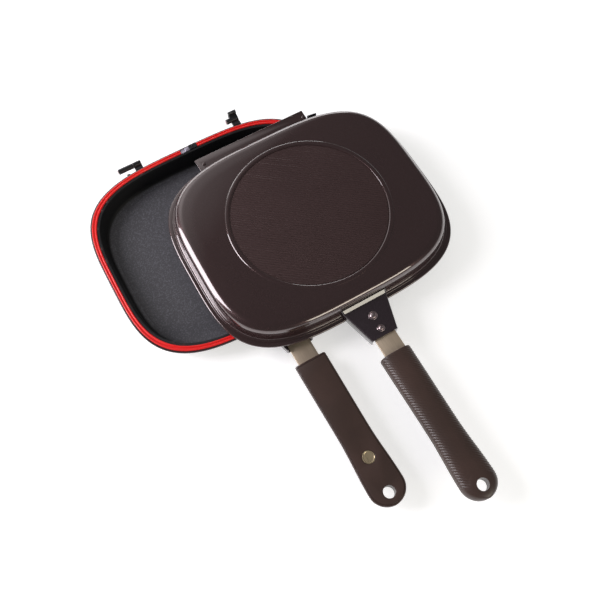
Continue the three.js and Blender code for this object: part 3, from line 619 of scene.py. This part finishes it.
castShell = panShell()
for half in ("lower", "upper"):
    shell = copyPiece(castShell)
    if half == "lower":
        cutWith(shell, sealGroove())
        cutWith(shell, roundEdges(cube(*rimNub), 0.4, 2), "UNION")
    finishPiece(shell, half + "_pan", half + "_half", "pan_coat", panOutside, half + "_pan_shell", angle=28)
    insideFaces(shell)
    discFaces(shell)
    setPlace(shell, places[half])
    print(half, "shell has", len(shell.data.polygons), "faces")
bpy.data.objects.remove(castShell, do_unlink=True)


# Each ridge is an arc whose height is a share of its half width
def makeSeal():
    half, rise = seal["half"], seal["rise"]
    ridge = (half - seal["valley"]) / 2
    high = ridge * seal["flat"]
    right = [(half - ridge + ridge * x, rise - high + high * z) for x, z in arcPoints(0, 0, 1, 0, math.pi, 8)]
    left = [(-x, z) for x, z in reversed(right)]
    valley = [(seal["valley"], rise - seal["valleyDepth"]), (-seal["valley"], rise - seal["valleyDepth"])]
    section = [(half, seal["low"])] + right[:-1] + valley + left[1:] + [(-half, seal["low"])]
    ring = sweepRings([(seal["middle"] - across, height) for across, height in section], closed=True)
    return cutWith(ring, cube((seal["gapFrom"], rimSpan[0], -10), (seal["gapTo"], rimSpan[1], 10)))


ring = setPlace(makeSeal(), rimPlace)
finishPiece(ring, "seal_ring", "lower_half", "seal_rubber", sealRed, "lower_seal", angle=50)


# Steam vent in the seal's gap: a channelled metal insert and a rubber block with a cap over the rim
vent = {
    "from": -5.1, "to": 6.8, "near": 121.7, "far": 126.9, "foot": -1.2, "rise": 0.7, "low": -0.2,
    "channel": -0.7, "raised": 5.6, "endWall": 0.6, "rail": 0.8,
    "blockFrom": 7.1, "blockTo": 16.9, "blockRise": 1.1, "slitHalf": 0.5, "slitLow": 0.6, "capEnd": 128.1,
}


def makeVent():
    insert = cube((vent["from"], vent["near"], vent["foot"]), (vent["to"], vent["far"], vent["rise"]))
    end = vent["to"] - vent["raised"]
    cutWith(insert, cube((vent["from"] - 1, rimSpan[0], vent["low"]), (end, rimSpan[1], 5)))
    rails = (vent["near"] + vent["rail"], vent["far"] - vent["rail"])
    cutWith(insert, cube((vent["from"] - 1, rails[0], vent["channel"]), (end - vent["endWall"], rails[1], 5)))
    roundEdges(insert, 0.22, 2)
    start, end, high = vent["blockFrom"], vent["blockTo"], vent["blockRise"]
    block = cube((start, vent["near"], vent["foot"]), (end, vent["far"], high))
    cutWith(block, cube((start, vent["near"], fitGap), (end, vent["capEnd"], high)), "UNION")
    slit, half = (start + end) / 2, vent["slitHalf"]
    cutWith(block, cube((slit - half, rimSpan[0], vent["slitLow"]), (slit + half, rimSpan[1], 5)))
    roundEdges(block, 0.3, 2)
    return insert, block


insert, block = [setPlace(piece, rimPlace) for piece in makeVent()]
finishPiece(insert, "vent_insert", "lower_half", "vent_metal", ventMetal, "steam_vent_insert")
finishPiece(block, "vent_block", "lower_half", "vent_black", hingeBlack, "steam_vent_block")
print("seal and vent made")


# Handle bracket: sheet folded down at both sides and turned up in a slope against the wall
bracket = {
    "end": 167.0, "top": 12.4, "sheet": 1.8, "rootHalf": 26.8, "endHalf": 16.4, "fold": 2.0, "foldSteps": 5,
    "skirt": 0.6, "rows": (167, 166.2, 160, 150, 140, 132, 127),
    "bend": [(125.0, 0), (124.7, 0.08), (124.5, 0.22), (121.4, 2.64), (121.2, 2.78), (120.9, 2.93),
             (120.6, 3.0), (112.0, 3.0)],
}


def bracketRows():
    rows = [(y, bracket["top"]) for y in bracket["rows"]]
    return rows + [(y, bracket["top"] + rise) for y, rise in bracket["bend"]]


# A channel's outside or inside as a closed body, a little less wide if asked; rows run from its end to the wall
def channel(rows, less, low, fold, steps):
    corner = [(1, step / steps * quarterTurn) for step in range(steps + 1)]
    side = [(1, 0, low)] + [(1, turn, None) for _, turn in corner] + [(0, quarterTurn, None)]
    section = side + [(-u, turn, z) for u, turn, z in reversed(side[:-1])] + [side[0]]

    def place(column, row):
        u, turn, z = section[column]
        y, top = rows[row]
        narrow = (bracket["endHalf"] - bracket["rootHalf"]) * (y - halfWidth) / (bracket["end"] - halfWidth)
        half = bracket["rootHalf"] + narrow - less
        if z is None:
            z = top - fold + fold * math.sin(turn)
        return u * (half - fold + fold * math.cos(turn)), -y, z

    piece = shapedGrid(len(section) - 1, len(rows) - 1, place)
    editAll(piece, "EDGE")
    bpy.ops.mesh.remove_doubles(threshold=0.002 * mm)
    closeRings(False)
    return piece


def makeBracket():
    piece = channel(bracketRows(), 0, bracket["skirt"], bracket["fold"], bracket["foldSteps"])
    under = bracket["top"] - bracket["sheet"]
    insideRows = [(bracket["end"] + 3, under), (bracket["bend"][-1][0] - 3, under)]
    cutWith(piece, channel(insideRows, less=bracket["sheet"], low=-5, fold=0.6, steps=3))
    roundEdges(piece, 0.3, 2, angle=60)
    return cutWith(piece, panEnvelope())


# Rivet: a low collar with a step and a dome, and its shank and tail under what it holds
rivets = {
    "front": {"y": 141.0, "radius": 5.2, "under": 3.1},
    "rear": {"y": 158.0, "radius": 4.3, "under": 7.3},
}
rivetShape = {"shank": 2.2, "tail": 3.4, "tailHeight": 1.4, "collar": 0.7, "domeInset": 1.5, "domeRise": 1.6,
              "domeSteps": 9}


def makeRivet(y, radius, under):
    head = bracket["top"] + fitGap
    collar = head + rivetShape["collar"]
    dome = radius - rivetShape["domeInset"]
    shank, tail, seat = rivetShape["shank"], rivetShape["tail"], under - fitGap
    profile = [(tail - 0.4, under - rivetShape["tailHeight"]), (tail, under - 1.0), (tail, seat)]
    profile += [(shank, seat), (shank, head)]
    profile += [(radius - 0.2, head), (radius, head + 0.2), (radius, collar - 0.25), (radius - 0.25, collar)]
    profile += [(dome + 0.5, collar), (dome + 0.2, collar - 0.35), (dome, collar - 0.3)]
    for x, z in arcPoints(0, 0, 1, 0, quarterTurn, rivetShape["domeSteps"])[1:]:
        profile.append((max(dome * x, 0.15), collar - 0.3 + rivetShape["domeRise"] * z))
    return setPlace(turned(profile, 56), Matrix.Translation((0, -y * mm, 0)))


# Steel neck from the bracket into the grip
neck = {"from": 150.3, "grip": 188.0, "to": 322.4, "half": 12.9, "innerHalf": 9.5, "low": 7.3, "top": 10.3,
        "inside": 3, "hole": 2.5}


def makeNeck():
    half, innerHalf = neck["half"], neck["innerHalf"]
    edge = neck["grip"] + neck["inside"]
    inner = edge + half - innerHalf
    right = [(half, -neck["from"]), (half, -edge), (innerHalf, -inner), (innerHalf, -neck["to"])]
    strip = plate([(-x, y) for x, y in right] + list(reversed(right)), neck["low"], neck["top"])
    roundEdges(strip, 0.45, 3)
    return cutWith(strip, cylinder(0, -rivets["rear"]["y"], 0, 20, neck["hole"], 32))


# Grip: a rounded shell with slanting ribs over its flanks, a flat face on its parting side and a magnet
grip = {
    "start": 188.0, "tip": 366.0, "height": 14.4, "startHalf": 18.9, "waistHalf": 18.3, "endRadius": 20.8,
    "waistShare": 0.6, "roundPower": 2.7, "sideRise": 1.2, "startRound": 1.6, "tipHeight": 9.0,
    "tipShare": 0.97, "across": 72, "rows": 300, "tipRows": 26, "startRows": 4, "archSteps": 1200,
    "hole": 351.5, "holeRadius": 6.6, "lip": 1.8, "faceThickness": 2.2, "magnet": 311.0, "magnetRadius": 6.9,
    "ribPitch": 2.53, "ribDepth": 0.55, "ribSlant": (0.63, 0.79),
}
ribFade = {"middle": 0.35, "middleHalf": 3, "flank": 5, "low": 1.6, "lowSpan": 2.2, "hole": 11.5,
           "holeSpan": 4, "tip": 4, "tipSpan": 14, "start": 0.3, "startSpan": 0.8, "power": 1.5}
gripArc = grip["tip"] - grip["endRadius"]


def cosineEase(low, high, share):
    return low + (high - low) * (1 - math.cos(share * math.pi)) / 2


def gripHalf(distance):
    share, waist = (distance - grip["start"]) / (gripArc - grip["start"]), grip["waistShare"]
    if share < waist:
        return cosineEase(grip["startHalf"], grip["waistHalf"], share / waist)
    return cosineEase(grip["waistHalf"], grip["endRadius"], (share - waist) / (1 - waist))


def gripOutline(inset, spans=40, tipSteps=24):
    side = []
    for step in range(spans + 1):
        distance = grip["start"] + inset + (gripArc - grip["start"] - inset) * step / spans
        side.append((gripHalf(distance) - inset, -distance))
    tip = arcPoints(0, -gripArc, grip["endRadius"] - inset, 0, -math.pi, tipSteps)[1:-1]
    return side + tip + [(-x, y) for x, y in reversed(side)]


# Shares of half width and height, evenly spaced round the outer side
def gripArch():
    power, steps = 2 / grip["roundPower"], grip["archSteps"]
    turns = [step / steps * math.pi for step in range(steps + 1)]
    fine = [(math.copysign(abs(math.cos(turn)) ** power, math.cos(turn)), math.sin(turn) ** power)
            for turn in turns]
    lengths = [0.0]
    for (x, z), (nextX, nextZ) in zip(fine, fine[1:]):
        part = math.hypot((nextX - x) * grip["startHalf"], (nextZ - z) * grip["height"])
        lengths.append(lengths[-1] + part)
    arch, at = [], 0
    for step in range(grip["across"] + 1):
        wanted = lengths[-1] * step / grip["across"]
        while at < len(fine) - 1 and lengths[at] < wanted:
            at += 1
        arch.append(fine[at])
    arch[-1] = (-1.0, 0.0)
    return arch


def gripRows():
    first = grip["start"] + grip["startRound"]
    rows = []
    for step in range(grip["startRows"]):
        turn = step / grip["startRows"] * quarterTurn
        less = grip["startRound"] * (1 - math.sin(turn))
        distance = first - grip["startRound"] * math.cos(turn)
        rows.append((distance, gripHalf(distance) - less, grip["height"] - less))
    for step in range(grip["rows"] + 1):
        distance = first + (gripArc - first) * step / grip["rows"]
        rows.append((distance, gripHalf(distance), grip["height"]))
    for step in range(1, grip["tipRows"] + 1):
        turn = step / grip["tipRows"] * grip["tipShare"] * quarterTurn
        height = grip["tipHeight"] + (grip["height"] - grip["tipHeight"]) * math.cos(turn)
        radius = grip["endRadius"]
        rows.append((gripArc + radius * math.sin(turn), radius * math.cos(turn), height))
    return rows


# The ribs fade out at the flat side, the tip, the hole and the start, and are shallow along the middle
def addRibs(piece):
    across, along = grip["ribSlant"]
    fade = ribFade
    for vertex in piece.data.vertices:
        x, y, z = [value / mm for value in vertex.co]
        flank = fade["middle"] + (1 - fade["middle"]) * ease((abs(x) - fade["middleHalf"]) / fade["flank"])
        low = ease((z - fade["low"]) / fade["lowSpan"])
        tip = ease((math.hypot(x, y + grip["hole"]) - fade["hole"]) / fade["holeSpan"])
        tip *= ease((y + grip["hole"] + fade["tip"]) / fade["tipSpan"])
        begin = ease((-y - grip["start"] - fade["start"]) / fade["startSpan"])
        wave = 0.5 - 0.5 * math.cos(fullTurn * (x * across + y * along) / grip["ribPitch"])
        groove = grip["ribDepth"] * flank * low * tip * begin * wave ** fade["power"]
        vertex.co -= vertex.normal * (groove * mm)


def gripBody():
    arch, rows = gripArch(), gripRows()
    flat = [(share, 0) for share in (0.0, 0.5, 1.0)]
    section = flat + [(point, 1) for point in arch] + [(-share, 0) for share, kind in reversed(flat)]

    def place(column, row):
        at, kind = section[column]
        distance, half, height = rows[row]
        rise = min(grip["sideRise"], height / 2)
        if kind == 0:
            return at * (half - min(grip["sideRise"], half / 2)), -distance, 0.0
        return at[0] * half, -distance, rise + (height - rise) * at[1]

    piece = shapedGrid(len(section) - 1, len(rows) - 1, place)
    editAll(piece, "EDGE")
    bpy.ops.mesh.remove_doubles(threshold=0.002 * mm)
    closeRings(False)
    return piece


def gripShell():
    shell = gripBody()
    addRibs(shell)
    cutWith(shell, plate(gripOutline(grip["lip"]), -past, grip["faceThickness"] + fitGap))
    cutWith(shell, cylinder(0, -grip["hole"], -past, 20, grip["holeRadius"]))
    slot = cube((-neck["half"] - fitGap, -(neck["to"] + 0.2), neck["low"] - fitGap),
                (neck["half"] + fitGap, -(neck["grip"] - 2), neck["top"] + fitGap))
    cutWith(shell, slot)
    return cutWith(shell, cylinder(0, -grip["magnet"], -past, neck["low"], grip["magnetRadius"] + fitGap, 48))


def gripFace():
    face = plate(gripOutline(grip["lip"] + fitGap), 0, grip["faceThickness"])
    cutWith(face, cylinder(0, -grip["hole"], -past, 6, grip["holeRadius"]))
    cutWith(face, cylinder(0, -grip["magnet"], -past, 6, grip["magnetRadius"] + fitGap, 48))
    return roundEdges(face, 0.45, 3, angle=50)


def gripMagnet():
    radius = grip["magnetRadius"]
    profile = [(0.3, 0.18), (radius - 1.3, 0.18), (radius - 1.0, 0.0), (radius - 0.45, 0.0),
               (radius - 0.12, 0.12), (radius, 0.45), (radius, neck["low"] - fitGap)]
    return setPlace(turned(profile, 64), Matrix.Translation((0, -grip["magnet"] * mm, 0)))


# Model, label, CAD name, slot, finish and smoothing angle of each piece that both handles have
handle = [
    (makeBracket(), "bracket", "handle_bracket", "bracket_coat", bracketCoat, 25),
    (makeRivet(**rivets["front"]), "big_rivet", "front_rivet", "bright_steel", rivetSteel, 30),
    (makeRivet(**rivets["rear"]), "small_rivet", "rear_rivet", "bright_steel", rivetSteel, 30),
    (makeNeck(), "neck", "handle_tang", "neck_steel", neckSteel, 32),
    (gripShell(), "handle_shell", "grip_shell", "grip_plastic", gripPlastic, 55),
    (gripFace(), "handle_face", "grip_face", "grip_plastic", gripPlastic, 32),
    (gripMagnet(), "handle_magnet", "grip_magnet", "magnet_steel", magnetSteel, 25),
]
for half in ("lower", "upper"):
    for model, label, name, slot, finish, angle in handle:
        piece = setPlace(copyPiece(model), places[half])
        finishPiece(piece, half + "_" + label, half + "_half", slot, finish, half + "_" + name, angle=angle)
        print(piece.name, len(piece.data.polygons), "faces")
for model, *rest in handle:
    bpy.data.objects.remove(model, do_unlink=True)
print("handles made")


# Hinge: rolled sleeves turn on steel pins held in hooks on the lower rim
hinge = {
    "y": 135.0, "z": 0.8, "closedGap": 1.5, "pin": 1.9, "pinHead": 2.75, "headHeight": 0.8, "tube": 3.3,
    "hookHalf": 5.0, "strapY": 118.3, "strapLow": -2.8, "strapHigh": 0.4,
    "left": {"x": -59.5, "sleeve": 19.0}, "right": {"x": 75.4, "sleeve": 5.5},
    "finger": [(135, -0.8), (142.2, -0.5), (142.2, 8.6), (141.2, 10.2), (138.6, 10.2), (137.9, 9.4),
               (137.9, 5.0), (135, 3.6)],
}


# Puts a piece that stands at the origin on the hinge's line, with its foot at the given X
def onHinge(piece, start):
    return setPlace(piece, Matrix.Translation((start * mm, hinge["y"] * mm, hinge["z"] * mm)) @ alongX)


def tubeAlongX(inner, outer, start, end, edge=0.35):
    length = end - start
    profile = [(outer, edge), (outer, length - edge), (outer - edge, length), (inner, length), (inner, 0),
               (outer - edge, 0)]
    return onHinge(turned(profile, 40, closed=True), start)


def makeHook(side):
    left, right = hinge[side]["x"] - hinge["hookHalf"], hinge[side]["x"] + hinge["hookHalf"]
    strap = cube((left, hinge["strapY"], hinge["strapLow"]), (right, hinge["y"], hinge["strapHigh"]))
    hook = cutWith(strap, solidRod(left, right, hinge["tube"]), "UNION")
    if side == "right":
        cutWith(hook, bar(hinge["finger"], left, right), "UNION")
    envelope = setPlace(panEnvelope(), Matrix.Rotation(math.pi, 4, "Y"))
    cutWith(hook, envelope)
    cutWith(hook, solidRod(left - past, right + past, hinge["pin"] + fitGap))
    return roundEdges(hook, 0.3, 2, angle=40)


def solidRod(start, end, radius):
    return onHinge(cylinder(0, 0, 0, end - start, radius, 40), start)


def makePin(side):
    right = hinge[side]["x"] + hinge["hookHalf"]
    left = hinge[side]["x"] - hinge["hookHalf"] - 2 * fitGap - hinge[side]["sleeve"]
    radius, head, high = hinge["pin"], hinge["pinHead"], hinge["headHeight"]
    length = right - left + high
    profile = [(head - 0.3, 0), (head, 0.25), (head, high), (radius, high), (radius, length - 0.3),
               (radius - 0.3, length)]
    return onHinge(turned(profile, 36), left - high)


for side in ("left", "right"):
    hook = setPlace(makeHook(side), rimPlace)
    finishPiece(hook, side + "_hook", "lower_half", "hinge_black", hingeBlack, side + "_hinge_hook")
    pin = setPlace(makePin(side), rimPlace)
    finishPiece(pin, side + "_pin", "lower_half", "bright_steel", rivetSteel, side + "_hinge_pin")
    sleeveEnd = hinge[side]["x"] - hinge["hookHalf"] - fitGap
    sleeve = tubeAlongX(hinge["pin"] + fitGap, hinge["tube"], sleeveEnd - hinge[side]["sleeve"], sleeveEnd)
    finishPiece(setPlace(sleeve, rimPlace), side + "_sleeve", "hinge_sleeves", "hinge_black", hingeBlack,
                side + "_hinge_sleeve")
print("hinge made")


# Hinge cover of the upper half with its saddles and rivets, and the stop tab beside it
cover = {"left": -80.5, "right": 70.0, "inner": 111.6, "outer": 141.2, "low": 4.5, "top": 6.3, "corner": 0.9,
         "saddleFront": 129.6, "saddles": {"left": (-79.4, -65.4), "right": (64.6, 69.5)}, "rivetY": 131.2,
         "seatShort": 0.29, "shank": 1.1, "shankLow": 2.0}


def makeCover():
    left, right, outer, corner = cover["left"], cover["right"], cover["outer"], cover["corner"]
    points = [(left, cover["inner"]), (right, cover["inner"])]
    points += arcPoints(right - corner, outer - corner, corner, 0, quarterTurn, 6)
    points += arcPoints(left + corner, outer - corner, corner, quarterTurn, math.pi, 6)
    piece = roundEdges(plate(points, cover["low"], cover["top"]), 0.5, 3, angle=50)
    cutWith(piece, panEnvelope())
    for start, end in cover["saddles"].values():
        cutWith(piece, cylinder((start + end) / 2, cover["rivetY"], 0, 12, cover["shank"] + fitGap, 24))
    return piece


# Its seat fits over the sleeve when the halves are closed, with the seal's gap between the rims
def makeSaddle(start, end):
    seatZ = hinge["z"] - hinge["closedGap"]
    seatStart = math.pi - cover["seatShort"]
    seat = arcPoints(hinge["y"], seatZ, hinge["tube"] + fitGap, seatStart, quarterTurn, 10)
    front, high = cover["saddleFront"], cover["low"] - fitGap
    points = [(front, fitGap)] + seat + [(hinge["y"], high), (front, high)]
    return roundEdges(bar(points, start, end), 0.25, 2, angle=50)


def coverRivet():
    shank, top = cover["shank"], cover["top"]
    return turned([(shank, cover["shankLow"]), (shank, top + fitGap), (2.2, top + fitGap), (2.3, top + 0.45),
                   (2.1, top + 0.65), (1.4, top + 0.78), (0.2, top + 0.8)], 36)


coverPlate = setPlace(makeCover(), upperPlace)
finishPiece(coverPlate, "cover_plate", "upper_half", "pan_coat", panOutside, "hinge_cover")
rivetModel = coverRivet()
for side, (start, end) in cover["saddles"].items():
    saddle = setPlace(makeSaddle(start, end), upperPlace)
    finishPiece(saddle, side + "_saddle", "upper_half", "hinge_black", hingeBlack, side + "_hinge_saddle")
    rivetPlace = upperPlace @ Matrix.Translation(((start + end) / 2 * mm, cover["rivetY"] * mm, 0))
    rivet = setPlace(copyPiece(rivetModel), rivetPlace)
    finishPiece(rivet, side + "_cover_rivet_head", "upper_half", "pan_coat", panOutside,
                side + "_cover_rivet")
bpy.data.objects.remove(rivetModel, do_unlink=True)

# Stop tab of bent sheet: its upright and its foot both follow the rim
tab = {"left": 70.3, "right": 82.0, "thickness": 1.2, "height": 7.5, "overhang": 0.8, "steps": 6}


def makeTab():
    left, right, steps = tab["left"], tab["right"], tab["steps"]
    spots = [left + (right - left) * step / steps for step in range(steps + 1)]
    foot = pan["flange"] + fitGap

    def strip(inset, high):
        near = [(x, outlineY(x, inset)) for x in reversed(spots)]
        return plate([(x, outlineY(x, -tab["overhang"])) for x in spots] + near, foot, foot + high)

    upright = strip(tab["thickness"] - tab["overhang"], tab["height"])
    cutWith(upright, strip(pan["step"] - fitGap, tab["thickness"]), "UNION")
    return roundEdges(upright, 0.25, 2, angle=50)


stopTab = setPlace(makeTab(), upperPlace)
finishPiece(stopTab, "stop_tab", "upper_half", "hinge_black", hingeBlack, "hinge_stop_tab")
print("cover and tab made")


# The hidden screws keep their CAD shape
for name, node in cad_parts.items():
    if "screw" in name:
        node.data.materials.clear()
        node.data.materials.append(rivetSteel)


# Floor, lights and camera
def makeFloor():
    deselectAll()
    bpy.ops.mesh.primitive_plane_add(size=12, location=(0, 0, frameBox[0][2] - 0.0004))
    floor = bpy.context.object
    floor.name = "floor"
    material = bpy.data.materials.new("paleFloor")
    material.use_nodes = True
    tree = material.node_tree
    principled = tree.nodes["Principled BSDF"]
    principled.inputs["Base Color"].default_value = (0.86, 0.86, 0.86, 1)
    principled.inputs["Roughness"].default_value = 0.9
    principled.inputs["Specular IOR Level"].default_value = 0.1
    glow = mathNode(tree, "MULTIPLY", seenDirectly(tree), 0.45)
    principled.inputs["Emission Color"].default_value = (1, 1, 1, 1)
    tree.links.new(glow.outputs[0], principled.inputs["Emission Strength"])
    floor.data.materials.append(material)


def seenDirectly(tree):
    path = addNode(tree, "ShaderNodeLightPath")
    either = mathNode(tree, "MAXIMUM", path.outputs["Is Camera Ray"], path.outputs["Is Glossy Ray"])
    return mathNode(tree, "MAXIMUM", either.outputs[0], path.outputs["Is Transmission Ray"]).outputs[0]


# The world is white to the camera; reflections see a white horizon and a dim ceiling with a paler patch
studio = {
    "diffuseFrom": (0.1, 0.9), "diffuse": (0.68, 0.26), "horizon": (0.0, 0.18), "ceiling": 0.1,
    "patch": (-0.1, 0.8, 0.6), "patchFrom": 0.87, "patchTo": 1.0, "patchLight": 1.2,
}


def makeWorld():
    world = bpy.data.worlds.new("studio")
    scene.world = world
    world.use_nodes = True
    tree = world.node_tree
    background = tree.nodes["Background"]
    direction = addNode(tree, "ShaderNodeTexCoord").outputs["Generated"]
    height = addNode(tree, "ShaderNodeSeparateXYZ", Vector=direction).outputs[2]
    lit = rampNode(tree, height, *studio["diffuseFrom"], *studio["diffuse"])
    horizon = rampNode(tree, height, *studio["horizon"], 1.0, studio["ceiling"])
    toPatch = addNode(tree, "ShaderNodeVectorMath", {"operation": "DOT_PRODUCT"}, i0=direction,
                      i1=studio["patch"])
    patch = rampNode(tree, toPatch.outputs["Value"], studio["patchFrom"], studio["patchTo"], 0.0,
                     studio["patchLight"])
    seen = mathNode(tree, "MAXIMUM", horizon.outputs[0], patch.outputs[0])
    path = addNode(tree, "ShaderNodeLightPath")
    through = mathNode(tree, "MAXIMUM", path.outputs["Is Camera Ray"], path.outputs["Is Transmission Ray"])
    glossy = addNode(tree, "ShaderNodeMix", {"data_type": "FLOAT"}, i0=path.outputs["Is Glossy Ray"],
                     i2=lit.outputs[0], i3=seen.outputs[0])
    mix = addNode(tree, "ShaderNodeMix", {"data_type": "FLOAT"}, i0=through.outputs[0],
                  i2=glossy.outputs[0], i3=1.0)
    tree.links.new(mix.outputs[0], background.inputs["Strength"])
    background.inputs["Color"].default_value = (1, 1, 1, 1)


# Area lamp turned to its target
def addLamp(name, place, target, size, power, colour=(1, 1, 1)):
    deselectAll()
    bpy.ops.object.light_add(type="AREA", location=place)
    lamp = bpy.context.object
    lamp.name = name
    lamp.data.shape = "RECTANGLE"
    lamp.data.size, lamp.data.size_y = size
    lamp.data.energy = power
    lamp.data.color = colour
    lamp.rotation_euler = (Vector(place) - Vector(target)).to_track_quat("Z", "Y").to_euler()


view = {"azimuth": -29.57, "elevation": 67.66, "roll": -0.11, "distance": 0.8203,
        "target": (0.0254, -0.1216, 0.0274), "lens": 43.3}


def makeCamera():
    azimuth, elevation = math.radians(view["azimuth"]), math.radians(view["elevation"])
    level = math.cos(elevation)
    away = Vector((math.sin(azimuth) * level, -math.cos(azimuth) * level, math.sin(elevation)))
    roll = Matrix.Rotation(math.radians(view["roll"]), 3, "Z").to_quaternion()
    deselectAll()
    bpy.ops.object.camera_add()
    camera = bpy.context.object
    camera.rotation_mode = "QUATERNION"
    camera.rotation_quaternion = away.to_track_quat("Z", "Y") @ roll
    camera.location = Vector(view["target"]) + away * view["distance"]
    camera.data.lens = view["lens"]
    camera.data.clip_start, camera.data.clip_end = 0.01, 30
    scene.camera = camera


scene = bpy.context.scene
makeFloor()
makeWorld()
addLamp("leftBox", (-1.44, 0.76, 0.9), (0, 0, 0), (0.9, 1.7), 42, (0.98, 0.95, 1.0))
addLamp("frontBox", (0.5, -1.6, 0.85), (0, -0.1, 0), (0.9, 0.45), 7, (1.0, 0.95, 0.8))
addLamp("backBox", (0.2, 1.9, 0.3), (0, 0, 0), (2.4, 0.3), 8)
makeCamera()
scene.view_settings.view_transform = "Standard"
print("stage set")
